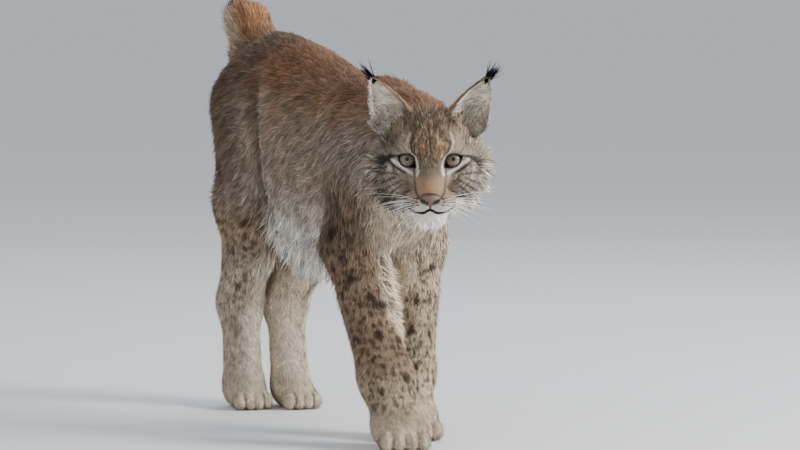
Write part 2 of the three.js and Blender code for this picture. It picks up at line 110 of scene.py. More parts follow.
# Head frame: the origin is midway between the eyeballs, and -Y is where the head points
HEAD_AT = np.array([-60.0, -520.0, 481.0])
HEAD_TURN = np.array(Matrix.Rotation(-25 * DEG, 3, "Z") @ Matrix.Rotation(13 * DEG, 3, "X"))
EYE = {"p": (37, 2, 0), "r": 14.0, "lid": 2.6, "iris": 11.8, "pupil": 3.0}
# The opening between the lids: out from the eye's middle, up from it, and the rim's half width
LID_RIM = [
    (12.6, 7.6, 1.3),
    (7.0, 10.9, 1.5),
    (1.0, 12.2, 1.7),
    (-5.0, 11.4, 1.7),
    (-9.6, 7.0, 1.7),
    (-11.4, -1.0, 1.8),
    (-12.6, -9.2, 1.9),
    (-7.6, -9.4, 1.5),
    (-1.2, -8.8, 1.3),
    (4.8, -6.8, 1.2),
    (9.4, -2.8, 1.2),
    (12.0, 3.0, 1.2),
]
NOSE = {"p": (0, -66, -47), "r": (17, 10, 11.5)}
EAR = {"base": (57, 52, 44), "tip": (91, 54, 121), "half_width": 33, "depth": 32, "outward": 0.22}

# The skin's two grids: their cells and boxes, the face's box being round the head
BODY_CELL = 6.5
BODY_BOX = ((-180, -580, -8), (180, 450, 760))
FACE_CELL = 1.5
FACE_BOX = ((-135, -120, -140), (130, 130, 100))

# How far back and down the face's mesh reaches in the head's frame, and what is cut off past that
FACE_BACK, FACE_LOW = 30, -135
SPARE_BACK, SPARE_LOW = 8, 11

# How far the body's mesh runs on under the face's, and how deep it sinks there
LAP = 3 * BODY_CELL
SINK = 1.6

# The camera of the photograph, in the animal's frame
LENS, SENSOR = 167.4, 36.0
CAMERA_AT = (-2612.7, -5880.6, 775.0)
CAMERA_YAW, CAMERA_PITCH = 25.0 * DEG, 3.84 * DEG


def mirrored(p, side):
    return (p[0] * side, p[1], p[2])


def head_point(p):
    """The animal's frame to the head's frame."""
    return (p - HEAD_AT) @ HEAD_TURN


def from_head(q):
    return np.asarray(q, float) @ HEAD_TURN.T + HEAD_AT


def row_shift():
    """From the animal's frame to the row's frame, read from the eyeballs' places."""
    gaps = []
    for side, word in WORD.items():
        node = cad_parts["eye_" + word]
        co = np.array([v.co for v in node.data.vertices])
        middle = (co.min(0) + co.max(0)) / 2 * 1000
        gaps.append(middle - from_head(mirrored(EYE["p"], side)))
    shift = np.mean(gaps, axis=0)
    shift[2] = 0
    return shift


SHIFT = row_shift()


def to_row(p):
    return (np.asarray(p) + SHIFT) / 1000


# Fields take points as rows and give a distance that is negative inside a form


def unit(v):
    return v / np.maximum(np.linalg.norm(v, axis=-1, keepdims=True), 1e-9)


def flat_on(way, normal):
    """What is left of a way once its part along the normal is taken off."""
    return way - normal * (way * normal).sum(1, keepdims=True)


def soft_min(a, b, k):
    h = np.maximum(k - np.abs(a - b), 0) / k
    return np.minimum(a, b) - h * h * k / 4


def blend(k, *fields):
    def field(p):
        d = fields[0](p)
        for other in fields[1:]:
            d = soft_min(d, other(p), k)
        return d

    return field


def carve(k, body, tool):
    return lambda p: -soft_min(-body(p), tool(p), k)


def ellipsoid(centre, radii):
    centre = np.array(centre, float)
    radii = np.array(radii, float)

    def field(p):
        u = (p - centre) / radii
        near = np.linalg.norm(u, axis=1)
        slope = np.linalg.norm(u / radii, axis=1)
        return near * (near - 1) / np.maximum(slope, 1e-9)

    return field


def taper(a, b):
    start = np.array(a[0], float)
    along = np.array(b[0], float) - start
    length2 = along @ along

    def field(p):
        d = p - start
        t = np.clip(d @ along / length2, 0, 1)
        gone = np.linalg.norm(d - t[:, None] * along, axis=1)
        return gone - (a[1] + (b[1] - a[1]) * t)

    return field


def chain(k, *stations):
    return blend(k, *[taper(a, b) for a, b in zip(stations, stations[1:])])


def narrowed(field, ratio):
    return lambda p: field(p / np.array([ratio, 1, 1])) * (0.5 + ratio / 2)


def paw_field(leg, size):
    toes = []
    for step in (-1.5, -0.5, 0.5, 1.5):
        reach = size["half_length"] - 13 - 4 * abs(step)
        centre = (step * size["half_width"] * 0.45, -reach, size["toe"] + 4)
        toes.append(ellipsoid(centre, (size["toe"], size["toe"] * 1.7, size["toe"] + 5)))
    pad = (size["half_width"], size["half_length"], size["height"] * 0.56)
    whole = blend(8, ellipsoid((0, 6, size["height"] * 0.46), pad), *toes)
    turn = np.array(Matrix.Rotation(leg["yaw"], 3, "Z"))
    return lambda p: whole((p - np.array(leg["paw"])) @ turn)


def foreleg_field(side):
    j = FORELEG[side]
    return blend(
        30,
        chain(40, j["scapula"], j["shoulder"], j["elbow"]),
        chain(24, j["elbow"], j["wrist"], j["fetlock"]),
        paw_field(j, FOREPAW),
    )


def hindleg_field(side):
    j = HINDLEG[side]
    thigh_end = (j["knee"][0], j["knee"][1] - 6)
    return blend(
        34,
        chain(50, j["hip"], j["knee"]),
        chain(40, j["ischium"], j["hamstring"], (j["hock"][0], j["hock"][1] - 7)),
        chain(30, thigh_end, j["hock"]),
        chain(20, j["hock"], j["ankle"]),
        paw_field(j, HINDPAW),
    )


def head_field():
    """The head in its own frame, with sockets, lids and the plain form of the ruff."""
    forms = [
        ellipsoid((0, 54, 6), (68, 84, 64)),
        ellipsoid((0, 8, 20), (52, 40, 42)),
        ellipsoid((-50, 26, -26), (38, 50, 44)),
        ellipsoid((50, 26, -26), (38, 50, 44)),
        taper(((0, 0, -8), 33), ((0, -44, -40), 23)),
        taper(((0, 30, -62), 48), ((0, -22, -76), 28)),
    ]
    pads = [ellipsoid((s * 19, -43, -56), (25, 25, 20)) for s in (RIGHT, LEFT)]
    muzzle = blend(9, blend(18, *forms), *pads, ellipsoid((0, -38, -82), (25, 22, 16)))
    for side in (RIGHT, LEFT):
        muzzle = carve(10, muzzle, ellipsoid((side * 37, -20, -2), (21, 15, 15)))
    lid = EYE["r"] + EYE["lid"]
    lids = [ellipsoid(mirrored(EYE["p"], s), (lid, lid, lid)) for s in (RIGHT, LEFT)]
    ruff = [taper(((s * 59, 56, -14), 36), ((s * 47, 32, -64), 31)) for s in (RIGHT, LEFT)]
    return blend(16, blend(5, muzzle, *lids), *ruff)


trunk = narrowed(chain(60, *TRUNK), TRUNK_WIDTH_RATIO)
belly = narrowed(chain(50, *BELLY), 1.1)
neck = chain(50, *NECK)
tail = chain(20, *TAIL)
head = head_field()
forelegs = {side: foreleg_field(side) for side in (RIGHT, LEFT)}
hindlegs = {side: hindleg_field(side) for side in (RIGHT, LEFT)}
PARTS = ("trunk", "neck", "head", "tail")
PARTS += ("foreleg_right", "foreleg_left", "hindleg_right", "hindleg_left")


def part_distances(p):
    """The distance to each part, a column each in the order of PARTS."""
    return np.stack(
        [
            soft_min(trunk(p), belly(p), 45),
            neck(p),
            head(head_point(p)),
            tail(p),
            forelegs[RIGHT](p),
            forelegs[LEFT](p),
            hindlegs[RIGHT](p),
            hindlegs[LEFT](p),
        ],
        axis=1,
    )


def part_shares(d, soft=14):
    w = np.exp(-(d - d.min(1, keepdims=True)) / soft)
    return w / w.sum(1, keepdims=True)


def form_from(d):
    """The outside of the coat, from the distances to the parts."""
    halves = []
    for fore, hind in ((4, 6), (5, 7)):
        half = d[:, 0]
        for column in (1, 3, fore, hind):
            half = soft_min(half, d[:, column], 45)
        halves.append(half)
    return soft_min(np.minimum(*halves), d[:, 2], 40)


def ramp(x, low, high):
    t = np.clip((x - low) / (high - low), 0, 1)
    return t * t * (3 - 2 * t)


# Depth of the coat over the skin
TRUNK_COAT, NECK_COAT, TAIL_COAT = 11.0, 12.0, 9.0


def less_by_eyes(size, q, least, reach):
    """A size that falls to a least share of itself beside each eye."""
    for side in (RIGHT, LEFT):
        away = np.linalg.norm(q - np.array(mirrored(EYE["p"], side)), axis=1)
        size = size * (least + (1 - least) * ramp(away, 16, reach))
    return size


def head_depth(q):
    """Almost bare on the muzzle and round the eyes, and deeper at the ruff and the nape."""
    away = np.linalg.norm(q - np.array([0, -42, -34]), axis=1)
    depth = 0.8 + 1.8 * ramp(away, 22, 60) + 2.5 * ramp(away, 72, 125) + 4 * ramp(q[:, 1], 70, 120)
    return less_by_eyes(depth, q, 0.25, 34)


# Folds of the sides, as y and z of places along them
HAUNCH_FOLD = [(128, 600), (106, 556), (79, 507), (66, 470), (77, 421), (108, 376), (116, 330)]
SHOULDER_FOLD = [(-215, 560), (-196, 520), (-178, 470), (-172, 430)]


def along_fold(p, fold):
    """How far points are from a fold of the sides, and how far behind it."""
    best = np.full(len(p), 1e3)
    behind = np.zeros(len(p))
    for (y0, z0), (y1, z1) in zip(fold, fold[1:]):
        along = np.array([y1 - y0, z1 - z0], float)
        t = np.clip(((p[:, 1] - y0) * along[0] + (p[:, 2] - z0) * along[1]) / (along @ along), 0, 1)
        dy = p[:, 1] - y0 - t * along[0]
        away = np.hypot(dy, p[:, 2] - z0 - t * along[1])
        behind = np.where(away < best, dy, behind)
        best = np.minimum(best, away)
    return best, behind


def fold_depth(p):
    """The skin sinks along the folds in front of the haunches and behind the shoulders."""
    outer = ramp(np.abs(p[:, 0]), 35, 80)
    haunch = 9 * np.exp(-((along_fold(p, HAUNCH_FOLD)[0] / 20) ** 2))
    shoulder = 4.5 * np.exp(-((along_fold(p, SHOULDER_FOLD)[0] / 20) ** 2))
    return outer * (haunch + shoulder)


def coat_depth(p, d):
    w = part_shares(d)
    height = p[:, 2]
    leg = 2.5 + 5.5 * ramp(height, 40, 280) + 3 * ramp(height, 300, 450)
    ones = np.ones(len(p))
    of_head = head_depth(head_point(p))
    depths = np.stack([TRUNK_COAT * ones, NECK_COAT * ones, of_head, TAIL_COAT * ones], 1)
    return (w[:, :4] * depths).sum(1) + w[:, 4:].sum(1) * leg + fold_depth(p)


def closed_curve(points, per):
    """Points of a smooth closed curve through places, as many for each place as per."""
    p = np.array(points, float)
    before, after, then = np.roll(p, 1, 0), np.roll(p, -1, 0), np.roll(p, -2, 0)
    t = (np.arange(per) / per)[None, :, None]
    a, b, c, d = (v[:, None] for v in (before, p, after, then))
    whole = 2 * b + (c - a) * t + (2 * a - 5 * b + 4 * c - d) * t**2 + (3 * b - a - 3 * c + d) * t**3
    return (whole / 2).reshape(-1, p.shape[1])


LID_CURVE = closed_curve(LID_RIM, 8)


def lid_opening(q):
    """The opening between each eye's lids, as a distance in the head's frame."""
    least = np.full(len(q), 1e3)
    for side in (RIGHT, LEFT):
        u = q[:, 0] * side - EYE["p"][0]
        v = q[:, 2] - EYE["p"][2]
        near = (np.hypot(u, v) < 24) & (q[:, 1] < 8)
        away = np.full(len(q), 1e3)
        turn = np.arctan2(v[near], u[near])
        rim_turn = np.arctan2(LID_CURVE[:, 1], LID_CURVE[:, 0])
        order = np.argsort(rim_turn)
        rim = np.hypot(LID_CURVE[:, 0], LID_CURVE[:, 1])
        edge = np.interp(turn, rim_turn[order], rim[order], period=2 * math.pi)
        away[near] = np.maximum(np.hypot(u[near], v[near]) - edge, q[near, 1] + 5)
        least = np.minimum(least, away)
    return least


def lip_line(x):
    """Height of the line between the lips, in the head's frame, at x."""
    x = np.abs(x)
    return -66 - 5.5 * ramp(x, 0, 13) + 12 * ramp(x, 20, 43)


def lip_groove(q):
    away = np.abs(q[:, 2] - lip_line(q[:, 0]))
    return np.maximum(away - 0.9, np.maximum(q[:, 1] + 16, np.abs(q[:, 0]) - 45))


def skin_field(p):
    d = part_distances(p)
    form = form_from(d) + coat_depth(p, d)
    q = head_point(p)
    near = d[:, 2] < 12
    if near.any():
        h = q[near]
        shaped = -soft_min(-form[near], lid_opening(h), 1.2)
        grooved = np.minimum(-lip_groove(h), 3.5 + form[near])
        shaped = -soft_min(-shaped, -grooved, 1.0)
        form = form.copy()
        form[near] = shaped
    return np.maximum(form, 1.5 - p[:, 2])


def slope_of(field, p, h=0.6):
    """The gradient of a field, from the corners of a small tetrahedron round each point."""
    corners = np.array([[1, -1, -1], [-1, -1, 1], [-1, 1, -1], [1, 1, 1]])
    return sum(field(p + h * k)[:, None] * k for k in corners) / (4 * h)


def shell_values(field, low, count, cell):
    """The field on a grid: exact near its surface, and from coarser grids away from it."""
    value = None
    for stride in (8, 4, 2, 1):
        size = tuple(-(-c // stride) for c in count)
        if value is None:
            value = np.zeros(size)
            near = np.ones(size, bool)
        else:
            value = value.repeat(2, 0).repeat(2, 1).repeat(2, 2)[: size[0], : size[1], : size[2]]
            near = np.abs(value) < 2 * stride * cell * 2.2
        places = np.argwhere(near)
        value[near] = field(low + cell * stride * places)
    return value


def surface_nets(field, low, high, cell):
    """Vertices and quads of a field's zero surface, from a grid of cubes."""
    low = np.array(low, float)
    count = tuple(8 * (np.ceil((np.array(high) - low) / cell / 8).astype(int) + 1))
    value = shell_values(field, low, count, cell)
    inside = value < 0
    corners = [(i, j, k) for i in (0, 1) for j in (0, 1) for k in (0, 1)]
    cut = [slice(0, -1), slice(1, None)]
    total = sum(inside[cut[i], cut[j], cut[k]].astype(np.int8) for i, j, k in corners)
    cells = np.argwhere((total > 0) & (total < 8))
    mean = np.zeros((len(cells), 3))
    number = np.zeros(len(cells))
    for a in corners:
        for axis in range(3):
            if a[axis]:
                continue
            b = tuple(1 if n == axis else v for n, v in enumerate(a))
            va = value[tuple((cells + a).T)]
            vb = value[tuple((cells + b).T)]
            crossing = (va < 0) != (vb < 0)
            t = np.where(crossing, va / np.where(crossing, va - vb, 1), 0)
            place = np.array(a) + t[:, None] * (np.array(b) - np.array(a))
            mean += place * crossing[:, None]
            number += crossing
    vertices = low + cell * (cells + mean / number[:, None])
    index = np.full(count, -1)
    index[tuple(cells.T)] = np.arange(len(cells))
    quads = []
    for axis in range(3):
        lower = [slice(1, -1)] * 3
        upper = [slice(1, -1)] * 3
        lower[axis] = slice(0, -1)
        upper[axis] = slice(1, None)
        first, second = inside[tuple(lower)], inside[tuple(upper)]
        edges = np.argwhere(first != second) + [int(n != axis) for n in range(3)]
        u, v = np.eye(3, dtype=int)[(axis + 1) % 3], np.eye(3, dtype=int)[(axis + 2) % 3]
        ring = np.stack([index[tuple((edges - o).T)] for o in (u + v, v, 0 * u, u)], 1)
        turned = ~first[tuple((edges - [int(n != axis) for n in range(3)]).T)]
        ring[turned] = ring[turned][:, ::-1]
        quads.append(ring)
    return vertices, np.concatenate(quads)


def settle(field, p, reach):
    """Moves points onto a field's zero surface, no further than reach, and gives their normals."""
    slope = slope_of(field, p)
    step = slope * (field(p) / np.maximum((slope**2).sum(1), 0.1))[:, None]
    step *= np.minimum(1, reach / np.maximum(np.linalg.norm(step, axis=1), 1e-9))[:, None]
    return p - step, unit(slope)


def in_face(q, margin):
    """Points of the head's frame that belong to the finer mesh of the face, by a margin."""
    return (q[:, 1] < FACE_BACK - margin) & (q[:, 2] > FACE_LOW + margin)


def skin_mesh():
    """The whole skin: the coarser body, and the finer face, with the body sunk where it runs under."""
    body_v, body_q = surface_nets(skin_field, *BODY_BOX, BODY_CELL)
    for _ in range(2):
        body_v, body_n = settle(skin_field, body_v, BODY_CELL * 0.6)
    body_q = body_q[~in_face(head_point(body_v[body_q].mean(1)), LAP)]
    q = head_point(body_v)
    under = ramp(np.minimum(FACE_BACK - q[:, 1], q[:, 2] - FACE_LOW), -4, 6)
    body_v -= body_n * (SINK * under)[:, None]

    def face_only(p):
        q = head_point(p)
        past = np.maximum(q[:, 1] - FACE_BACK - SPARE_BACK, FACE_LOW - SPARE_LOW - q[:, 2])
        return np.maximum(skin_field(p), past)

    face_v, face_q = surface_nets(face_only, *(HEAD_AT + np.array(FACE_BOX)), FACE_CELL)
    face_q = face_q[in_face(head_point(face_v[face_q].mean(1)), 0)]
    face_v, face_n = settle(skin_field, face_v, FACE_CELL * 0.6)
    vertices = np.concatenate([body_v, face_v])
    quads = np.concatenate([body_q, face_q + len(body_v)])
    used, quads = np.unique(quads, return_inverse=True)
    return vertices[used], quads.reshape(-1, 4), np.concatenate([body_n, face_n])[used]


# Noise and spots that the markings are drawn with


def lattice(cells, seed):
    """A repeatable random number from 0 to 1 for each integer cell."""
    n = cells[..., 0] * 73856093 ^ cells[..., 1] * 19349663 ^ cells[..., 2] * 83492791 ^ seed * 2654435
    n = (n ^ (n >> 13)) * 1274126177 & 0x7FFFFFFF
    return ((n ^ (n >> 16)) & 0xFFFF) / 65535


def noise(p, size, seed):
    """Smooth noise from 0 to 1 with features of a size, which may differ by axis."""
    s = p / size
    cell = np.floor(s).astype(np.int64)
    f = s - cell
    f = f * f * (3 - 2 * f)
    total = np.zeros(len(p))
    for corner in np.ndindex(2, 2, 2):
        share = np.prod(np.where(corner, f, 1 - f), axis=1)
        total += share * lattice(cell + corner, seed)
    return total


def strokes(p, lie, size):
    """Noise from 0 to 1, drawn out along the hair."""
    return sum(noise(p + lie * (1.1 * k * size), size, 97) for k in (-2, -1, 0, 1, 2)) / 5


def spots(u, v, spacing, radius, seed):
    """How much each point of an unrolled coat lies in one of many scattered spots, from 0 to 1."""
    s = np.stack([u, v, np.zeros(len(u))], 1) / spacing
    cell = np.floor(s).astype(np.int64)
    best = np.zeros(len(s))
    for offset in np.ndindex(3, 3):
        at = cell + np.array([offset[0] - 1, offset[1] - 1, 0])
        shift = [0.15 + 0.7 * lattice(at, seed + n) for n in range(2)]
        size = radius * (0.55 + 0.7 * lattice(at, seed + 5))
        away = np.hypot(s[:, 0] - at[:, 0] - shift[0], s[:, 1] - at[:, 1] - shift[1]) * spacing
        best = np.maximum(best, 1 - ramp(away / size, 0.6, 1.1))
    return best


def round_leg(p, joints):
    """The angle round a leg from its front, at each point's height."""
    axis = [joints["paw"]] + [joints[k][0] for k in joints if k not in ("paw", "yaw")]
    axis = np.array(sorted(axis, key=lambda v: v[2]), float)
    ax = p[:, 0] - np.interp(p[:, 2], axis[:, 2], axis[:, 0])
    ay = p[:, 1] - np.interp(p[:, 2], axis[:, 2], axis[:, 1])
    return np.arctan2(ax, -ay)


def unrolled(p, turn, along, size, wobble, seed):
    """Places on an unrolled coat, in millimetres, a little shifted so that spots aren't round."""
    shift = wobble * (noise(p, 9, seed) - 0.5)
    return turn * size + shift, along + wobble * (noise(p, 9, seed + 1) - 0.5)


# Colours of the coat


def srgb(r, g, b):
    c = np.array([r, g, b]) / 255
    return np.where(c <= 0.04045, c / 12.92, ((c + 0.055) / 1.055) ** 2.4)


RUFOUS = srgb(122, 84, 57)
BROWN = srgb(99, 81, 66)
GREY_BROWN = srgb(150, 131, 113)
HEAD_BROWN = srgb(130, 107, 82)
SIDE_LOW = srgb(202, 190, 176)
GREY = srgb(142, 132, 122)
NECK_GREY = GREY * 0.72
CREAM = srgb(236, 217, 188)
LOWER_LEG = srgb(192, 178, 160)
WHITE = srgb(248, 241, 230)
BELLY_WHITE = srgb(232, 225, 214)
LEG_BROWN = srgb(149, 125, 101)
DARK = srgb(54, 40, 31)
SPOT = srgb(48, 32, 23)
BLACK = srgb(24, 20, 19)
TAN = srgb(166, 132, 102)
ORANGE = srgb(152, 113, 80)
TAIL_ORANGE = srgb(158, 112, 78)
TAIL_PALE = srgb(184, 160, 134)
CHEEK = srgb(156, 142, 122)
LIP = srgb(34, 26, 24)
EAR_BACK = srgb(110, 94, 80)
EAR_INSIDE = srgb(206, 195, 180)
EAR_HOLLOW_SHADE = srgb(132, 118, 110)
EAR_HAIR = srgb(250, 238, 218)
IRIS = srgb(118, 104, 88)
IRIS_INNER = srgb(96, 78, 60)
IRIS_EDGE = srgb(76, 66, 58)
NOSE_SKIN = srgb(108, 84, 74)
NOSE_DARK = srgb(56, 42, 40)


def mix(colour, other, share):
    """A colour, or one for each point, turned towards another by each point's share."""
    share = np.clip(share, 0, 1)[:, None]
    return colour * (1 - share) + other * share


def body_colour(p, n, d):
    """Grey-brown sides, a rufous back, a pale belly and spotted legs."""
    w = part_shares(d, 10)
    up = n[:, 2]
    height = p[:, 2]
    patch = noise(p, 60, 3) * 0.5 + noise(p, 20, 4) * 0.5
    c = mix(GREY_BROWN, SIDE_LOW, 0.8 * (1 - ramp(height - 0.12 * p[:, 1] + 60 * (patch - 0.5), 340, 440)))
    back = ramp(up + 0.5 * (patch - 0.5), 0.1, 0.8)
    rufous = back * (0.85 + 0.1 * ramp(p[:, 1], -120, 20)) * (1 - 0.6 * ramp(p[:, 1], 150, 260))
    c = mix(c, RUFOUS, rufous)
    rump = ramp(p[:, 1], 100, 220) * ramp(height, 300, 430)
    c = mix(c, BROWN, 0.95 * rump)
    # Painted shade in the fold in front of the haunch, reaching further behind it
    fold, behind = along_fold(p, HAUNCH_FOLD)
    outer = ramp(np.abs(p[:, 0]), 35, 75) * (1 - ramp(height, 540, 620))
    reach = np.where(behind > 0, 25, 8)
    c = c * (1 - 0.62 * outer * np.exp(-((fold / reach) ** 2)))[:, None]
    low = 1 - ramp(height - 0.1 * p[:, 1] + 34 * (patch - 0.5), 322, 376)
    grey_patch = 0.75 + 0.3 * noise(p, 16, 7)
    c = mix(c, BELLY_WHITE, low * (1 - w[:, 4:].sum(1)) * grey_patch)
    chest = ramp(-p[:, 1], 225, 290) * (1 - ramp(height, 400, 470))
    c = mix(c, CREAM, 0.6 * chest * (1 - ramp(np.abs(p[:, 0] + 10), 35, 75)))
    throat = ramp(-p[:, 1], 310, 380) * (1 - ramp(height - 0.3 * np.abs(p[:, 0] + 20), 390, 430))
    c = mix(c, BELLY_WHITE, 0.8 * throat * ramp(p[:, 0], -62, -24))
    c = mix(c, NECK_GREY, 0.55 * w[:, 1] * (1 - back) * ramp(height, 400, 450))
    turn = np.arctan2(p[:, 0], height - 460)
    u, v = unrolled(p, turn, p[:, 1], 120, 7, 85)
    c = mix(c, SPOT, 0.34 * spots(u, v, 30, 7, 11) * (1 - back) * (1 - low) * (w[:, 0] + w[:, 1]))
    c = leg_colour(c, p, n, w)
    on_tail = w[:, 3]
    black = ramp(p[:, 1] + height * 0.6 + 8 * (patch - 0.5), 826, 833)
    pale = ramp(0.42 * n[:, 1] - 0.9 * n[:, 0] - 0.2 * up, 0.25, 0.8)
    c = mix(c, mix(TAIL_ORANGE, TAIL_PALE, pale), on_tail)
    return mix(c, BLACK, on_tail * black)


def painted_toe_gap_shade(p, leg, size):
    """Painted shade in the lines between a paw's toes."""
    q = (p - np.array(leg["paw"])) @ np.array(Matrix.Rotation(leg["yaw"], 3, "Z"))
    toes = 0.45 * size["half_width"]
    across = np.min([np.abs(q[:, 0] - gap * toes) for gap in (-1, 0, 1)], axis=0)
    forward = ramp(-q[:, 1], 0.35 * size["half_length"], 0.7 * size["half_length"])
    return np.exp(-((across / 2.4) ** 2)) * forward * (1 - ramp(q[:, 2], 24, 36))


# The dark bar inside the right forearm: its middle and its half sizes
FOREARM_BAR = ((-60, -330, 231), (19, 24, 6.5))


def leg_colour(c, p, n, w):
    """Brown and densely spotted outside and in front, cream on the insides, pale on the paws."""
    height = p[:, 2]
    for column, side in ((4, RIGHT), (5, LEFT), (6, RIGHT), (7, LEFT)):
        fore = column < 6
        joints, size = (FORELEG[side], FOREPAW) if fore else (HINDLEG[side], HINDPAW)
        if fore:
            # The slope to the side at which the brown outside meets the cream inside
            if side == RIGHT:
                edge = -0.38 - 0.7 * (1 - ramp(height, 150, 220)) - 0.14 * ramp(height, 240, 290)
            else:
                edge = -0.95 + 0.4 * ramp(height, 220, 280)
            outside = ramp(n[:, 0] * side - edge, 0, 0.28)
            # Painted light: the left foreleg, which is lit, carries less brown than the right one
            brown = outside * (0.6 + 0.4 * ramp(height, 50, 160)) * (1.0 if side == RIGHT else 0.55)
            base = CREAM
        else:
            outside = ramp(n[:, 0] * side + 0.25 * n[:, 1], -0.4, 0.2)
            brown = outside * (0.15 + 0.85 * ramp(height, 190, 350))
            # Painted light and shade: the lit left hind leg is paler, the shaded right one darker
            base = CREAM + (LOWER_LEG - CREAM) * (0.75 if side == RIGHT else 0.4)
        leg = mix(base, LEG_BROWN, brown)
        shade = 0.84 + 0.32 * noise(p, 22, 17)
        # Painted shade: the right foreleg darkens towards its top, below the chest
        if fore and side == RIGHT:
            shade = shade - 0.42 * ramp(height, 240, 340)
        leg = leg * shade[:, None]
        u, v = unrolled(p, round_leg(p, joints), height * 0.8, 42, 6, 87)
        small = spots(u, v, 10.5, 4.0, 23 + column)
        large = spots(u, v, 42, 7.0, 43 + column)
        dots = np.maximum(small * 0.85, large) * ramp(height, 40, 80) * outside
        leg = mix(leg, SPOT, (0.92 if fore else 0.55 + 0.3 * ramp(height, 120, 260)) * dots)
        leg = mix(leg, CREAM, 0.7 * (1 - ramp(height, 22, 50)))
        # Painted shade between the toes
        leg = mix(leg, DARK, 0.8 * painted_toe_gap_shade(p, joints, size))
        top = ramp(height, 400, 490) if fore else ramp(height, 330, 430)
        c = mix(c, leg, w[:, column] * (1 - top))
    bar = np.exp(-(((p - np.array(FOREARM_BAR[0])) / FOREARM_BAR[1]) ** 2).sum(1))
    return mix(c, DARK, 0.9 * np.clip(1.8 * bar, 0, 1))


def streaks(q, size, seed):
    """Fine streaks along the hair of the head, from 0 to 1."""
    reach = np.linalg.norm(q - np.array([0, -60, -40]), axis=1)
    turn = np.arctan2(q[:, 0], q[:, 2] + 40)
    flow = np.stack([turn * reach / size, reach / (size * 3.4), q[:, 1] / (size * 4.5)], 1)
    return noise(flow, 1.0, seed)


def line_share(x, z, points, width, soft=1.6):
    """How much points lie on a line drawn through places on the face, with a width at each."""
    best = np.zeros(len(x))
    for (x0, z0, w0), (x1, z1, w1) in zip(points, points[1:]):
        along = np.array([x1 - x0, z1 - z0])
        t = np.clip(((x - x0) * along[0] + (z - z0) * along[1]) / (along @ along), 0, 1)
        away = np.hypot(x - x0 - t * along[0], z - z0 - t * along[1])
        half = (w0 + (w1 - w0) * t) * width
        best = np.maximum(best, 1 - ramp(away, half - soft / 2, half + soft))
    return best


# Lines of the face: places out from the middle and up from the eyes, and half widths
EYE_STRIPE = [(49, 10, 1.2), (55, 8.5, 1.3), (62, 6.5, 1.8), (73, -1, 2.7), (79, -9, 2.5), (83, -19, 1.2)]
LOWER_STRIPE = [(66, 0, 0.9), (60, -5, 1.1), (54, -9.5, 1.3), (46, -15, 1.0), (40, -17.5, 0.6)]
WHITE_UNDER = [(62, 3.5, 0.9), (55, -1.5, 2.3), (43, -11.0, 1.9), (35, -15.5, 1.7), (29, -18, 1.3)]
WHITE_INNER = [(22, -16, 1.1), (20, -8, 1.4), (20.5, -2, 1.5), (23, 6, 1.3), (28, 14, 0.9)]
CREAM_ARC = [(28, 15, 1.0), (35, 24, 1.5), (37, 32, 1.7), (35, 40, 1.5), (31, 47, 0.8)]
DARK_ARC = [(26, 16, 0.9), (31, 24, 1.4), (32, 31, 1.4), (29, 37, 1.3), (24, 41, 0.9)]
NOSE_SIDE = [(24.5, -27, 0.7), (23.5, -34, 1.6), (22, -39, 1.8), (17, -45, 1.4)]
TEAR = [(25, -11, 1.8), (25, -18, 2.2), (25, -28, 2.4)]
BROW = [(46, 14, 0.9), (56, 22, 1.4), (66, 24, 1.2)]
CHEEK_STREAKS = [
    [(56, -23, 0.9), (64, -28, 1.5), (76, -36, 1.5), (86, -50, 1.2)],
    [(50, -19, 0.6), (60, -17, 1.0), (72, -18, 1.1), (80, -26, 0.9)],
    [(44, -27, 0.6), (54, -33, 1.1), (66, -42, 1.2), (76, -56, 1.2)],
    [(44, -36, 0.6), (56, -45, 1.2), (64, -58, 1.6), (68, -74, 1.8)],
    [(48, -48, 0.6), (56, -62, 1.4), (60, -78, 2.0), (60, -94, 2.4)],
    [(70, -8, 0.7), (78, -16, 1.0), (86, -30, 1.0)],
]
FACE_LINES = [
    (CREAM_ARC, CREAM, 0.5),
    (DARK_ARC, DARK, 0.65),
    (WHITE_INNER, WHITE, 0.85),
    (WHITE_UNDER, WHITE, 0.92),
    (LOWER_STRIPE, BLACK, 0.85),
    (EYE_STRIPE, BLACK, 0.9),
    (NOSE_SIDE, DARK, 0.75),
    (TEAR, BROWN, 0.6),
    (BROW, DARK, 0.45),
]


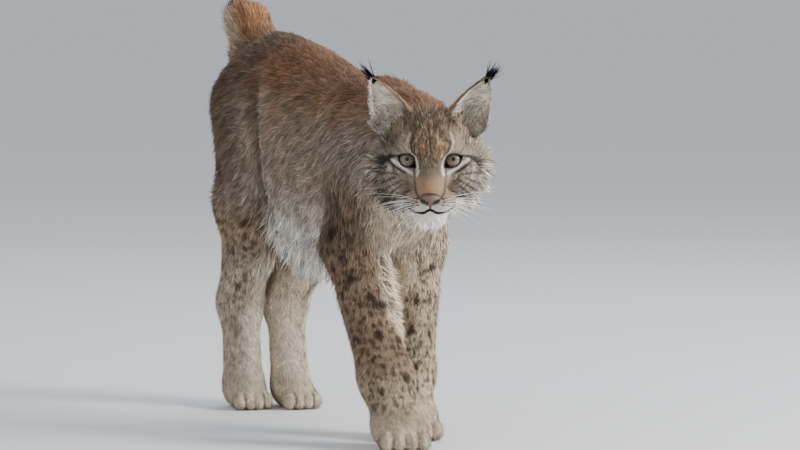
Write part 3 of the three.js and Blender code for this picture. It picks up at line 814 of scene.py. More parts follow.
def head_colour(q, n):
    """The face's markings, drawn as the head is seen from in front and fading towards its back."""
    x, y, z = np.abs(q[:, 0]), q[:, 1], q[:, 2]
    wobble = (noise(q, 9, 71) - 0.5) * 3
    x, z = x + wobble * 0.5, z + wobble * 0.5
    front = (1 - ramp(y, 30, 70)) * ramp(-n[:, 1], -0.1, 0.2)
    behind = ramp(y, 35, 75)
    fine = streaks(q, 1.4, 31)
    coarse = streaks(q, 2.8, 33)
    top = ramp(z - 0.2 * x, -4, 22)
    c = mix(CHEEK, HEAD_BROWN, 0.85 * top * (1 - ramp(x, 30, 50)))
    c = mix(c, GREY_BROWN, 0.7 * top * ramp(x, 30, 50))
    fore = ramp(z, -8, 14) * (1 - ramp(x, 24, 34)) * (1 - ramp(z, 56, 84))
    c = mix(c, BROWN, 0.7 * fore)
    glow = np.exp(-(((x - 14) / 11) ** 2) - ((z - 32) / 17) ** 2)
    c = mix(c, ORANGE, 0.8 * glow * front)
    c = mix(c, CREAM, 0.36 * fore * ramp(streaks(q, 1.9, 73), 0.56, 0.76))
    bridge = (1 - ramp(x, 17, 25)) * (1 - ramp(z, -22, -4)) * front
    c = mix(c, TAN, bridge)
    c = mix(c, BROWN, 0.6 * (1 - ramp(x, 14, 24)) * ramp(z, -24, -10) * (1 - ramp(z, 4, 14)) * front)
    ticks = ramp(fine, 0.5, 0.62) * ramp(z, -16, 6) * (1 - ramp(x, 24, 44))
    c = mix(c, DARK, 0.75 * ticks * (1 - behind))
    crown = ramp(z, 40, 58) * (1 - ramp(x, 42, 66)) * (1 - behind)
    c = mix(c, DARK, 0.55 * crown * ramp(coarse, 0.48, 0.62))
    c = mix(c, TAN, 0.3 * crown * (1 - ramp(coarse, 0.3, 0.42)))
    middle = line_share(x, z, [(0, 6, 0.8), (0, 20, 1.6), (0, 42, 1.4)], 1)
    c = mix(c, DARK, 0.75 * middle * front)
    temple = ramp(x, 40, 56) * ramp(z, 4, 18)
    c = mix(c, DARK, 0.45 * temple * (1 - behind) * ramp(fine, 0.5, 0.66))
    cheek = ramp(x, 26, 40) * (1 - ramp(z, -10, 2))
    c = mix(c, BROWN, 0.35 * cheek * (1 - ramp(x, 34, 48)))
    c = mix(c, DARK, 0.6 * cheek * (1 - behind) * ramp(streaks(q, 2.6, 37), 0.52, 0.68))
    c = mix(c, WHITE, 0.4 * cheek * ramp(streaks(q, 3.0, 39), 0.58, 0.74))
    side_front = (1 - ramp(y, 40, 70)) * ramp(-n[:, 1], -0.25, 0.1)
    for line in CHEEK_STREAKS:
        c = mix(c, DARK, 0.78 * side_front * line_share(x, z, line, 1))
    # Painted shade on the animal's right side: there the whites of the pad, chin and bib are drawn
    # narrower, and the pad's white weaker
    shady = 24 * ramp(-q[:, 0], 10, 30)
    pad = (1 - ramp(z, -57, -43)) * (1 - ramp(x + shady, 38, 54)) * (1 - ramp(y, -14, 14))
    c = mix(c, WHITE, (0.7 - 0.16 * (q[:, 0] < 0)) * pad)
    upper_pad = (1 - ramp(np.abs(z + 44), 5, 11)) * ramp(x, 18, 24) * (1 - ramp(x, 40, 52)) * front
    c = mix(c, TAN, 0.5 * upper_pad)
    c = mix(c, DARK, 0.9 * whisker_spots(x, z) * (1 - ramp(y, -14, 14)))
    below = z - lip_line(x) + 0.12 * (x - 40) * (x > 40)
    chin = (1 - ramp(below, -4, 1)) * (1 - ramp(x + shady, 50, 62))
    bib = (1 - ramp(z, -80, -66)) * (1 - ramp(x + shady, 54, 66)) * (1 - ramp(y, 60, 90))
    c = mix(c, WHITE, np.maximum(chin, bib))
    ruff = ramp(x, 52, 66) * (1 - ramp(z, -62, -30)) * ramp(y, -10, 25)
    # Painted shade: the right side of the ruff takes brown where the left side takes white
    c = mix(c, BELLY_WHITE, 0.45 * (q[:, 0] > 0) * ruff)
    c = mix(c, BROWN, 0.55 * (q[:, 0] < 0) * ruff * (1 - behind))
    c = mix(c, DARK, 0.7 * ruff * (1 - behind) * ramp(streaks(q, 6, 41), 0.52, 0.66))
    # Painted shade: the right cheek, which lies in shade, is darker than the left one
    c = c * (1 - 0.32 * ramp(-q[:, 0], 46, 66) * (1 - ramp(y, 90, 120)))[:, None]
    for line, colour, strength in FACE_LINES:
        c = mix(c, colour, strength * front * line_share(x, z, line, 1))
    rim = lid_opening(q)
    c = mix(c, BLACK, (1 - ramp(rim, 1.8, 3.4)) * (y < 12))
    thin = 1 - 0.3 * ramp(np.abs(q[:, 0]), 20, 42)
    mouth = 1 - ramp(np.abs(q[:, 2] - lip_line(q[:, 0]) + 1.0) / thin, 2.0, 3.6)
    c = mix(c, LIP, mouth * (1 - ramp(x, 48, 57)) * (1 - ramp(y, 0, 16)))
    philtrum = (1 - ramp(x, 0.7, 2.0)) * ramp(-z, 55, 59) * (1 - ramp(-z, 66, 68))
    c = mix(c, LIP, philtrum * front)
    nape = ramp(y, 60, 100)
    return mix(c, mix(GREY_BROWN, RUFOUS, ramp(n[:, 2], 0.1, 0.8)), nape)


def whisker_spots(x, z):
    """Rows of small dark spots on each whisker pad, run together along each row."""
    best = np.zeros(len(x))
    for row in range(3):
        for n in range(6):
            sx = 20 + 4.4 * n + 1.6 * (row % 2)
            sz = -46.5 - 5.0 * row - 0.22 * (sx - 22)
            best = np.maximum(best, 1 - ramp(np.hypot((x - sx) / 2.0, z - sz), 0.9, 2.1))
    return best


def coat_colour(p, n, d):
    w = part_shares(d, 9)[:, 2]
    q = head_point(p)
    return mix(body_colour(p, n, d), head_colour(q, n @ HEAD_TURN), ramp(w, 0.35, 0.8))


# Which way the hair lies, how long it is and how far it stands


def lie_of(p, n, d):
    """The direction along the skin in which the hair grows."""
    w = part_shares(d, 12)
    q = head_point(p)
    front = ramp(-p[:, 1], 225, 290)
    flows = [
        np.stack([0 * front, 1 - 0.9 * front, -0.75 - 0.4 * front + 0.5 * ramp(n[:, 2], 0.4, 0.9)], 1),
        np.tile([0.0, 0.75, -0.6], (len(p), 1)),
        head_lie(q) @ HEAD_TURN.T,
        np.tile([0.0, 0.62, 0.78], (len(p), 1)),
    ]
    low = 1 - ramp(p[:, 2], 20, 90)
    leg = np.stack([0 * low, 0.16 - 0.9 * low, -1 + 0.25 * low], 1)
    thigh = ramp(p[:, 2], 230, 420)[:, None]
    flows += [leg, leg, leg + thigh * [0, 0.6, 0.2], leg + thigh * [0, 0.6, 0.2]]
    total = sum(w[:, [k]] * unit(flow) for k, flow in enumerate(flows))
    total = unit(flat_on(total, n))
    swirl = 0.9 * (noise(p, 34, 81) - 0.5) + 0.5 * (noise(p, 13, 83) - 0.5)
    swirl *= 1 - w[:, 2] * (1 - ramp(q[:, 1], 20, 80))
    return unit(total + np.cross(n, total) * swirl[:, None])


def head_lie(q):
    """Away from the nose over the face, down and outwards on the cheeks, up before the ears."""
    side = np.sign(q[:, 0])
    x, y, z = np.abs(q[:, 0]), q[:, 1], q[:, 2]
    away = unit(q - np.array([0, -75, -42]))
    ones = np.ones(len(q))
    cheek = (ramp(x, 26, 50) * (1 - ramp(z, -30, 10)))[:, None]
    down = unit(np.stack([0.62 * side, 0.55 * ones, -0.62 * ones], 1))
    chin = ((1 - ramp(z, -92, -68)) * (1 - ramp(x, 44, 60)))[:, None]
    beard = unit(np.stack([0.12 * side, 0.35 * ones, -0.9 * ones], 1))
    ear = np.stack([x - EAR["base"][0], y - EAR["base"][1], z - EAR["base"][2]], 1)
    by_ear = (1 - ramp(np.linalg.norm(ear, axis=1), 30, 52))[:, None] * (z > 8)[:, None]
    upward = unit(np.stack([0.5 * side, 0.25 * ones, 0.85 * ones], 1))
    lie = away * (1 - cheek) + down * cheek
    lie = lie * (1 - chin) + beard * chin
    return lie * (1 - 0.8 * by_ear) + 0.8 * upward * by_ear


def hair_sizes(p, d):
    """Length, width and lift of the tufts, and how many stand on a square millimetre."""
    w = part_shares(d, 12)
    q = head_point(p)
    x, y, z = np.abs(q[:, 0]), q[:, 1], q[:, 2]
    away = np.linalg.norm(q - np.array([0, -42, -34]), axis=1)
    ruff = ramp(x, 44, 70) * (1 - ramp(z, -22, 16)) * ramp(y, -15, 15)
    chin = (1 - ramp(z, -90, -74)) * (1 - ramp(x, 44, 62))
    crown = ramp(z, 40, 60) * (1 - ramp(y, 110, 150))
    ear = np.linalg.norm(np.stack([x, y, z], 1) - np.array(EAR["base"]), axis=1)
    by_ear = (1 - ramp(ear, 34, 54)) * (z > 8)
    head_length = 3.4 + 3.5 * ramp(away, 25, 65) + 9 * ramp(away, 78, 120)
    broad = ramp(x, 64, 84) * (1 - ramp(z, 12, 34))
    head_length += 17 * ruff + 14 * chin + 4 * crown + 5 * by_ear + 4 * broad
    head_length = less_by_eyes(head_length, q, 0.4, 32)
    height = p[:, 2]
    leg_length = 9 + 5 * ramp(height, 60, 260) + 8 * ramp(height, 300, 450)
    under = 1 - ramp(height - 0.1 * p[:, 1], 300, 370)
    trunk_length = 21 + 18 * under
    length = w[:, 0] * trunk_length + w[:, 1] * 24 + w[:, 2] * head_length + w[:, 3] * 17
    length += w[:, 4:].sum(1) * leg_length
    width = 0.66 + 0.066 * length
    rear = w[:, 3] * ramp(p[:, 1] * 0.42 - p[:, 0] * 0.9, 140, 185)
    length += 7 * rear
    head_lift = 0.2 * ruff + 0.3 * crown + 0.3 * by_ear + 0.2 * chin + 0.15 * broad
    leg_lift = 0.14 + 0.12 * (1 - ramp(height, 50, 90))
    lift = 0.27 + 0.4 * rear + leg_lift * w[:, 4:].sum(1) + head_lift * w[:, 2] + 0.15 * under * w[:, 0]
    lift = lift * (0.75 + 0.5 * noise(p, 18, 91))
    number = np.clip(3.3 / (length * width), 0.05, 0.34) * (1 - 0.1 * w[:, 4:].sum(1))
    return length, width, lift, number


# Meshes


def new_mesh(name, vertices, faces, normals=None, colours=None, uv=None):
    """A mesh object from arrays in the row's metres, its faces all with as many corners."""
    mesh = bpy.data.meshes.new(name)
    mesh.vertices.add(len(vertices))
    mesh.vertices.foreach_set("co", vertices.astype(np.float32).ravel())
    corners = faces.shape[1]
    mesh.loops.add(faces.size)
    mesh.loops.foreach_set("vertex_index", faces.astype(np.int32).ravel())
    mesh.polygons.add(len(faces))
    mesh.polygons.foreach_set("loop_start", np.arange(0, faces.size, corners, dtype=np.int32))
    mesh.polygons.foreach_set("use_smooth", np.ones(len(faces), bool))
    if colours is not None:
        rgba = np.concatenate([colours, np.ones((len(colours), 1))], 1).astype(np.float32)
        layer = mesh.attributes.new("Coat", "FLOAT_COLOR", "POINT")
        layer.data.foreach_set("color", rgba.ravel())
    if uv is not None:
        layer = mesh.uv_layers.new(name="OFBake")
        layer.data.foreach_set("uv", uv.astype(np.float32).ravel())
    mesh.update(calc_edges=True)
    mesh.validate()
    if normals is not None:
        mesh.normals_split_custom_set_from_vertices(normals.astype(np.float32))
    piece = bpy.data.objects.new(name, mesh)
    bpy.context.scene.collection.objects.link(piece)
    return piece


def dress(piece, material):
    piece.data.materials.clear()
    piece.data.materials.append(material)
    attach(piece, "root")
    return piece


# Charts of the unwrap, as a corner and a size on the map, and along what length of the body each
# round part runs: the height of its axis, and the y of both ends
CHARTS = {"trunk": (0.0, 0.5, 0.66, 0.5), "neck": (0.66, 0.5, 0.34, 0.5), "head": (0.0, 0.0, 0.4, 0.5)}
for place, part in enumerate(PARTS[3:] + ("ear_right", "ear_left")):
    CHARTS[part] = (0.4 + 0.085 * place, 0.0, 0.083, 0.5)
CHART_SPANS = {"trunk": (450, -400, 470), "neck": (480, -540, -100), "tail": (670, 260, 480)}
LEG_CHART_TOP = 640


def in_chart(name, u, v):
    x, y, wide, high = CHARTS[name]
    return np.stack([x + (0.02 + 0.96 * u) * wide, y + (0.02 + 0.96 * v) * high], -1)


def unwrap(p, part):
    """A place on an unrolled map of the skin: along the part that it is on, and round it."""
    uv = np.zeros((len(p), 2))
    for number, name in enumerate(PARTS):
        here = part == number
        s = p[here]
        if name == "head":
            q = head_point(s) - np.array([0, 20, -10])
            away = np.arccos(np.clip(-unit(q)[:, 1], -1, 1)) / math.pi
            turn = np.arctan2(q[:, 2], q[:, 0])
            uv[here] = in_chart(name, 0.5 + 0.5 * away * np.cos(turn), 0.5 + 0.5 * away * np.sin(turn))
        elif name in CHART_SPANS:
            height, low, high = CHART_SPANS[name]
            turn = np.arctan2(s[:, 0], s[:, 2] - height) / (2 * math.pi) + 0.5
            uv[here] = in_chart(name, np.clip((s[:, 1] - low) / (high - low), 0, 1), turn)
        else:
            joints = (FORELEG if "fore" in name else HINDLEG)[LEFT if name.endswith("left") else RIGHT]
            turn = round_leg(s, joints) / (2 * math.pi) + 0.5
            uv[here] = in_chart(name, turn, np.clip(s[:, 2] / LEG_CHART_TOP, 0, 1))
    return uv


def unwrap_faces(vertices, faces, part):
    """The unrolled places of each face's corners, kept together where a chart's ends meet."""
    corners = faces.shape[1]
    centre = unwrap(vertices[faces].mean(1), part)
    uv = unwrap(vertices[faces].reshape(-1, 3), np.repeat(part, corners)).reshape(-1, corners, 2)
    for axis, names in ((1, CHART_SPANS), (0, PARTS[4:])):
        for name in names:
            here = part == PARTS.index(name)
            span = 0.96 * CHARTS[name][2 + axis]
            gap = uv[here, :, axis] - centre[here, None, axis]
            uv[here, :, axis] -= np.round(gap / span) * span
    return uv.reshape(-1, 2)


def scatter(vertices, quads, number, *values):
    """Random places on the skin's faces, and the values of its vertices taken there."""
    tris = np.concatenate([quads[:, [0, 1, 2]], quads[:, [0, 2, 3]]])
    a, b, c = vertices[tris[:, 0]], vertices[tris[:, 1]], vertices[tris[:, 2]]
    area = np.linalg.norm(np.cross(b - a, c - a), axis=1) / 2
    wanted = area * number[tris].mean(1)
    count = np.floor(wanted + rng.random(len(wanted))).astype(int)
    face = np.repeat(np.arange(len(tris)), count)
    u, v = rng.random((2, len(face)))
    over = u + v > 1
    u[over], v[over] = 1 - u[over], 1 - v[over]
    shares = np.stack([1 - u - v, u, v], 1)
    return [(v[tris[face]] * shares[:, :, None]).sum(1) for v in (vertices, *values)]


# How deep a tuft's root stands under the skin, and the size of its patch on the bake map
ROOT_DEPTH = 1.2
PATCH_HALF, PATCH_LONG = 0.0014, 0.003


def tufts(root, normal, lie, length, width, lift, curl, sway, shades, uv, steps=2):
    """Tapered tufts of three sides: vertices, faces, normals, colours and bake places."""
    count = len(root)
    side = unit(np.cross(lie, normal))
    rows = [k / steps for k in range(steps)]
    places, normals, colours, marks = [], [], [], []
    dark, light = shades

    def middle(t):
        rise = np.sin(lift) * t - curl * t * t
        ahead = np.cos(lift) * t
        return (
            root
            - normal * ROOT_DEPTH
            + lie * (length * ahead)[:, None]
            + normal * (length * rise)[:, None]
            + side * (length * sway * t * t)[:, None]
        )

    for t in rows:
        half = (width * (0.5 - 0.14 * t)) * (0.8 if t == 0 else 1)
        for across, up in ((-1, 0), (1, 0), (0, 0.55)):
            places.append(middle(t) + side * (half * across)[:, None] + normal * (half * up * 1.2)[:, None])
            normals.append(unit(normal + side * across * 0.55 + lie * 0.15))
            colours.append(dark * (1 - t) + light * t)
            marks.append(uv + np.array([across * PATCH_HALF, (t - 0.5) * PATCH_LONG]))
    places.append(middle(1.0))
    normals.append(unit(normal + lie * 0.3))
    colours.append(light)
    marks.append(uv + np.array([0, PATCH_LONG / 2]))
    per = 3 * steps + 1
    faces = []
    for row in range(steps - 1):
        a = 3 * row
        for i, j in ((0, 2), (2, 1), (1, 0)):
            faces += [(a + i, a + j, a + 3 + j), (a + i, a + 3 + j, a + 3 + i)]
    a = 3 * (steps - 1)
    faces += [(a, a + 2, per - 1), (a + 2, a + 1, per - 1), (a + 1, a, per - 1)]
    faces = np.array(faces)[None] + (np.arange(count) * per)[:, None, None]
    stack = [np.stack(v, 1).reshape(count * per, -1) for v in (places, normals, colours, marks)]
    return stack[0], faces.reshape(-1, 3), stack[1], stack[2], stack[3]


def ear_axes(side):
    base, tip = (np.array(mirrored(EAR[k], side), float) for k in ("base", "tip"))
    up = tip - base
    front = np.array([EAR["outward"] * side, -1, 0.1])
    front = unit(front - up * (front @ up) / (up @ up))
    return base, up, front, unit(np.cross(up, front))


def ear_spread(t):
    """Half the width of the ear's cup and its depth, at t from its base to its tip."""
    rise = np.clip(t, 0, 1)
    root = 1 + 1.4 * np.minimum(t, 0)
    width = EAR["half_width"] * (1 - rise**1.6) ** 0.9 + 2
    depth = EAR["depth"] * (1 - rise**1.3) + 2.5
    return root * width, root * depth


def ear_point(side, t, turn, inset):
    """A point of the ear's cup in the head's frame: t runs from base to tip, turn across it."""
    base, up, front, across = ear_axes(side)
    width, depth = ear_spread(t)
    out = np.maximum(width - inset, 0.4) * np.sin(turn)
    back = np.maximum(depth - inset, 0.2) * np.cos(turn)
    return base + t[:, None] * up + out[:, None] * across - back[:, None] * front


def ear_wall(t):
    return 3.0 * (1 - 0.6 * np.clip(t, 0, 1))


EAR_TURN = 88 * DEG


def ear_places(side, t, turn, inside):
    """Places on the ear's chart, with its outside in one half and its inside in the other."""
    across = turn / (2 * EAR_TURN) * 0.45 + np.where(inside, 0.75, 0.25)
    return in_chart("ear_" + WORD[side], across, np.clip(t, 0, 1))


def ear_mesh(side):
    """The ear's cup as a closed shell, outside and inside in one loop of each ring."""
    rings, arc = 30, 25
    t = np.repeat(np.linspace(-0.34, 1, rings), 2 * arc)
    turn = np.linspace(-EAR_TURN, EAR_TURN, arc)
    turn = np.tile(np.concatenate([turn, turn[::-1]]), rings)
    inset = np.tile(np.repeat([0, 1], arc), rings) * ear_wall(t)
    vertices = from_head(ear_point(side, t, turn, inset))
    faces = []
    for ring in range(rings - 1):
        for n in range(2 * arc):
            a, b = ring * 2 * arc + n, ring * 2 * arc + (n + 1) % (2 * arc)
            faces.append((a, b, b + 2 * arc, a + 2 * arc))
    top = (rings - 1) * 2 * arc
    for n in range(arc - 1):
        faces.append((top + n, top + n + 1, top + 2 * arc - 2 - n, top + 2 * arc - 1 - n))
    return vertices, np.array(faces), ear_places(side, t, turn, inset > 0), (t, turn, inset > 0)


def ear_colour(side, t, turn, inside):
    """Pale inside with painted shade low in its hollow, a cream rim, and black behind round a grey patch.
    """
    lateral = turn * side / EAR_TURN
    c = mix(EAR_BACK, BLACK, ramp(t, 0.35, 0.6))
    c = mix(c, GREY_BROWN, 1 - ramp(t, 0.08, 0.3))
    patch = 1 - ramp(np.hypot((t - 0.45) * 2.2, lateral * 1.3), 0.25, 0.6)
    c = mix(c, GREY, 0.8 * patch)
    # Painted shade low in the cup's hollow
    dark = (1 - ramp(t, 0.15, 0.6)) * ramp(lateral, -0.35, 0.35)
    c = np.where(inside[:, None], mix(EAR_INSIDE, EAR_HOLLOW_SHADE, dark), c)
    rim = ramp(np.abs(turn), 0.8 * EAR_TURN, 0.96 * EAR_TURN)
    rim *= ramp(t, -0.04, 0.06)
    return mix(c, mix(TAN, CREAM, ramp(lateral, -0.2, 0.2)), rim)


def make_skin():
    """The one skin of body, head and ears, and what the coat needs to know about it."""
    vertices, quads, normals = skin_mesh()
    distances = part_distances(vertices)
    # The skin is painted darker than its coat, as painted shade in the gaps between the tufts
    colours = coat_colour(vertices, normals, distances) * 0.7
    part = distances[quads].mean(1).argmin(1)
    uv = unwrap_faces(vertices, quads, part)
    all_vertices, all_quads, all_colours, all_uv = [vertices], [quads], [colours], [uv]
    count = len(vertices)
    for side in (RIGHT, LEFT):
        ear_v, ear_q, ear_uv, spot = ear_mesh(side)
        all_vertices.append(ear_v)
        all_quads.append(ear_q + count)
        # The ears' skin is likewise darker, as painted shade under their hair
        all_colours.append(ear_colour(side, *spot) * 0.8)
        all_uv.append(ear_uv[ear_q.ravel()])
        count += len(ear_v)
    piece = new_mesh(
        "skin",
        to_row(np.concatenate(all_vertices)),
        np.concatenate(all_quads),
        colours=np.concatenate(all_colours),
        uv=np.concatenate(all_uv),
    )
    dress(piece, coat_material("Skin", 0.5))
    kinds = ("foreleg_", "forepaw_", "hindleg_", "hindpaw_")
    legs = [kind + word for kind in kinds for word in WORD.values()]
    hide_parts("torso", "neck", "head", "tail", "ear_right", "ear_left", *legs)
    return vertices, quads, normals, distances


# About the most triangles in one piece of tufts
MOST_TRIANGLES = 185000


def add_tufts(name, material, steps, root, normal, lie, length, width, lift, colour, uv):
    """Tufts as pieces of a size that the exporter likes, each tuft a little unlike the next."""
    count = len(root)
    length = length * rng.uniform(0.75, 1.25, count)
    width = width * rng.uniform(0.8, 1.25, count)
    lift = lift * rng.uniform(0.5, 1.5, count)
    lie = unit(lie + np.cross(normal, lie) * rng.normal(0, 0.17, count)[:, None])
    curl = rng.uniform(0.05, 0.22, count) * np.sin(lift) * 2
    sway = rng.normal(0, 0.07, count)
    coarse = ramp(length, 9, 16)
    stroke = strokes(root, lie, 3.4) * coarse + strokes(root, lie, 1.8) * (1 - coarse)
    clump = np.clip(1 + 2.7 * (stroke - 0.5), 0.45, 1.7) * (0.84 + 0.32 * noise(root, 19, 96))
    shade = (np.clip(rng.normal(1, 0.2, count), 0.5, 1.7) * clump)[:, None]
    # Each tuft darkens towards its root as painted shade between the tufts, less so on pale hair
    pale = ramp(colour.mean(1), 0.2, 0.7)[:, None]
    shades = (colour * (0.5 + 0.2 * pale) * shade, colour * (1.22 - 0.1 * pale) * shade)
    most = MOST_TRIANGLES // (6 * steps - 3)
    for number, pick in enumerate(np.array_split(np.arange(count), 1 + count // most)):
        made = tufts(
            root[pick], normal[pick], lie[pick], length[pick], width[pick], lift[pick],
            curl[pick], sway[pick], tuple(v[pick] for v in shades), uv[pick], steps,
        )
        vertices, faces, normals, colours, marks = made
        uv_marks = marks[faces.ravel()]
        piece = new_mesh(f"{name}_{number + 1}", to_row(vertices), faces, normals, colours, uv_marks)
        dress(piece, material)


def make_coat(vertices, quads, normals, distances, material):
    """The coat over the whole skin: a fine undercoat, and longer tufts where the coat is long."""
    length, width, lift, number = hair_sizes(vertices, distances)
    q = head_point(vertices)
    bare = (lid_opening(q) < 1.8) & (q[:, 1] < 4)
    bare |= ellipsoid(NOSE["p"], np.array(NOSE["r"]) + 1)(q) < 0
    bare |= vertices[:, 2] < 3
    number[bare] = 0
    long_coat = ramp(length, 8, 17)
    for layer, steps, share, size in (
        ("under", 1, 1.95, 0.75 + 0.25 * (1 - long_coat)),
        ("coat", 2, 0.6 * long_coat, np.ones(len(long_coat))),
    ):
        values = (normals, distances, size[:, None])
        root, normal, d, scale = scatter(vertices, quads, number * share, *values)
        normal, scale = unit(normal), scale[:, 0]
        lie = lie_of(root, normal, d)
        length, width, lift, _ = hair_sizes(root, d)
        colour = coat_colour(root + lie * (0.6 * length * scale)[:, None], normal, d)
        part = d.argmin(1)
        uv = unwrap(root, part)
        for place, name in enumerate(PARTS):
            pick = part == place
            slot = "tail_coat" if name == "tail" else "leg_coat" if "leg" in name else "coat"
            add_tufts(
                f"{layer}_{name}", material, steps, root[pick], normal[pick], lie[pick],
                (length * scale)[pick], (width * scale)[pick], lift[pick], colour[pick], uv[pick],
            )


def fringe_shares(p, n, d):
    """Where the long fringes hang, in the order of FRINGES."""
    x, y, z = p.T
    w = part_shares(d, 12)
    medial = ramp(-n[:, 0] * np.sign(x), -0.3, 0.2)
    flank = ramp(y, 30, 90) * (1 - ramp(y, 215, 250)) * ramp(z, 270, 310) * (1 - ramp(z, 372, 400))
    flank = flank * ramp(-n[:, 2] + 0.4 * medial, 0.0, 0.4) * (w[:, 0] + w[:, 6:].sum(1) * medial)
    edge = w[:, 0] * (1 - ramp(z, 318, 345)) * ramp(y, -150, -100)
    hind = w[:, 6:].sum(1) * medial * ramp(z, 60, 90) * (1 - ramp(z, 320, 350)) * ramp(-n[:, 1], -0.5, 0)
    elbow = w[:, 4:6].sum(1) * ramp(n[:, 1], 0.1, 0.6) * ramp(z, 150, 210) * (1 - ramp(z, 330, 370))
    inner = w[:, 4] * ramp(n[:, 0], 0.3, 0.8) * ramp(z, 160, 220) * (1 - ramp(z, 350, 390))
    throat = ramp(-y, 330, 360) * (1 - ramp(-y, 430, 450))
    throat = throat * (1 - ramp(z, 395, 425)) * ramp(-n[:, 1], -0.2, 0.3)
    return np.stack([np.maximum(flank, 0.7 * edge), hind, elbow, inner, throat * w[:, 1]], 1)


FRINGES = {
    "belly_fringe": {"length": 46, "lie": (0, 0.25, -1), "lift": 0.7, "number": 0.045},
    "hind_fringe": {"length": 21, "lie": (0, -0.2, -1), "lift": 0.5, "number": 0.09},
    "elbow_fringe": {"length": 24, "lie": (0, 0.45, -1), "lift": 0.5, "number": 0.06},
    "foreleg_fringe": {"length": 35, "lie": (0.1, -0.1, -1), "lift": 0.8, "number": 0.13},
    "throat_fringe": {"length": 38, "lie": (0, 0.1, -1), "lift": 0.5, "number": 0.05},
}


def make_fringes(vertices, quads, normals, distances, material):
    shares_of = fringe_shares(vertices, normals, distances)
    for column, (name, hair) in enumerate(FRINGES.items()):
        wanted = shares_of[:, column] * hair["number"]
        root, normal, d = scatter(vertices, quads, wanted, normals, distances)
        normal = unit(normal)
        lie = np.tile(np.array(hair["lie"], float), (len(root), 1))
        lie = unit(flat_on(lie, normal) + 1e-6)
        length = hair["length"] * (0.35 + 0.65 * ramp(root[:, 2], 140, 290))
        lie = unit(lie + np.cross(normal, lie) * rng.normal(0, 0.25, len(root))[:, None])
        colour = coat_colour(root, normal, d)
        add_tufts(
            name, material, 2, root, normal, lie, length, 0.6 + 0.055 * length,
            np.full(len(root), hair["lift"]), colour, unwrap(root, d.argmin(1)),
        )


# Hair of the ears: how many tufts, how thick they are and how far they stand
EAR_HAIRS = {
    "back": (2600, 1.2, 0.22),
    "rim": (900, 0.9, 0.25),
    "inside": (3600, 1.2, 0.3),
    "base": (900, 1.4, 0.6),
    "brush": (80, 1.6, 0.02),
}


def make_ear_coat(side, material):
    """Short hair behind the ear, a fringe on its rim, pale hair across its cup and a black brush."""
    word = WORD[side]
    base, up, front, across = ear_axes(side)
    up_way = unit(up)
    lateral_way = across * side

    def hair(name, t, turn, inset, lie, length, colour, outward):
        count, thick, lift = EAR_HAIRS[name]
        root = ear_point(side, t, turn, inset)
        along = root - ear_point(side, t - 0.01, turn, inset)
        round_way = ear_point(side, t, turn + 0.01, inset) - root
        normal = unit(np.cross(along, round_way)) * outward
        lie = unit(flat_on(lie, normal))
        add_tufts(
            f"ear_{name}_{word}", material, 2, from_head(root), normal @ HEAD_TURN.T,
            lie @ HEAD_TURN.T, length * np.ones(count), np.full(count, thick), np.full(count, lift),
            colour, ear_places(side, t, turn, outward < 0),
        )

    count = EAR_HAIRS["back"][0]
    t, turn = rng.uniform(-0.05, 0.97, count), rng.uniform(-EAR_TURN, EAR_TURN, count)
    lie = up_way + 0.15 * rng.normal(0, 1, (count, 3))
    colour = ear_colour(side, t, turn, np.zeros(count, bool))
    hair("back", t, turn, 0, lie, 9 + 3 * (1 - t), colour, 1)

    count = EAR_HAIRS["rim"][0]
    t = rng.uniform(0.0, 0.98, count)
    edge = np.where(rng.random(count) < 0.5, -1, 1)
    turn = edge * EAR_TURN * rng.uniform(0.9, 1.0, count)
    lie = up_way + across * edge[:, None] * 0.35 + front * 0.45
    colour = ear_colour(side, t, turn, np.ones(count, bool))
    hair("rim", t, turn, ear_wall(t) * 0.5, lie, 6.5 + 2 * (1 - t), colour, 1)

    count = EAR_HAIRS["inside"][0]
    t = rng.beta(1.0, 1.15, count) * 1.04 - 0.08
    turn = -side * EAR_TURN * rng.uniform(-0.98, 0.98, count)
    lie = up_way * 0.75 + lateral_way * 0.8 + 0.12 * rng.normal(0, 1, (count, 3))
    colour = ear_colour(side, t, turn, np.ones(count, bool))
    # Fewer pale hairs low in the hollow, as painted shade there
    hollow_shade = np.exp(-(((t - 0.2) / 0.22) ** 2) - (turn / 0.9) ** 2)
    pale = (rng.random(count) < 0.9 - 0.5 * hollow_shade)[:, None]
    colour = np.where(pale, EAR_HAIR, colour)
    hair("inside", t, turn, ear_wall(t), lie, 22 * (1.1 - 0.7 * t), colour, -1)

    count = EAR_HAIRS["base"][0]
    t, turn = rng.uniform(-0.2, 0.16, count), rng.uniform(-EAR_TURN, EAR_TURN, count)
    lie = up_way * 0.9 + front * 0.5 + 0.3 * rng.normal(0, 1, (count, 3))
    colour = mix(EAR_HAIR, GREY_BROWN, rng.random(count) * 0.7)
    hair("base", t, turn, ear_wall(t), lie, 26, colour, -1)

    count, thick, lift = EAR_HAIRS["brush"]
    spread = rng.normal(0, 1, (count, 3))
    root = base + up * 1.0 + spread * [1.2, 1.2, 2.0] - up_way * rng.uniform(0, 8, (count, 1))
    way = unit(np.array([0.66 * side, 0.3, 0.7]) + 0.035 * spread)
    normal = unit(np.cross(way, spread))
    length = rng.uniform(14, 36, count)
    uv = in_chart("ear_" + word, rng.uniform(0.1, 0.4, count), np.full(count, 0.98))
    add_tufts(
        f"ear_brush_{word}", material, 2, from_head(root), normal @ HEAD_TURN.T,
        way @ HEAD_TURN.T, length, np.full(count, thick), np.full(count, lift),
        np.tile(BLACK, (count, 1)), uv,
    )


def grid_faces(rows, columns):
    """Quads of a sheet whose columns close on themselves."""
    a = np.arange((rows - 1) * columns).reshape(rows - 1, columns)
    b = np.roll(a, -1, 1)
    return np.stack([a, b, b + columns, a + columns], -1).reshape(-1, 4)


# Points along each side of an eyeball's grid, and the cell of the nose's grid
EYE_GRID = 110
NOSE_CELL = 0.8


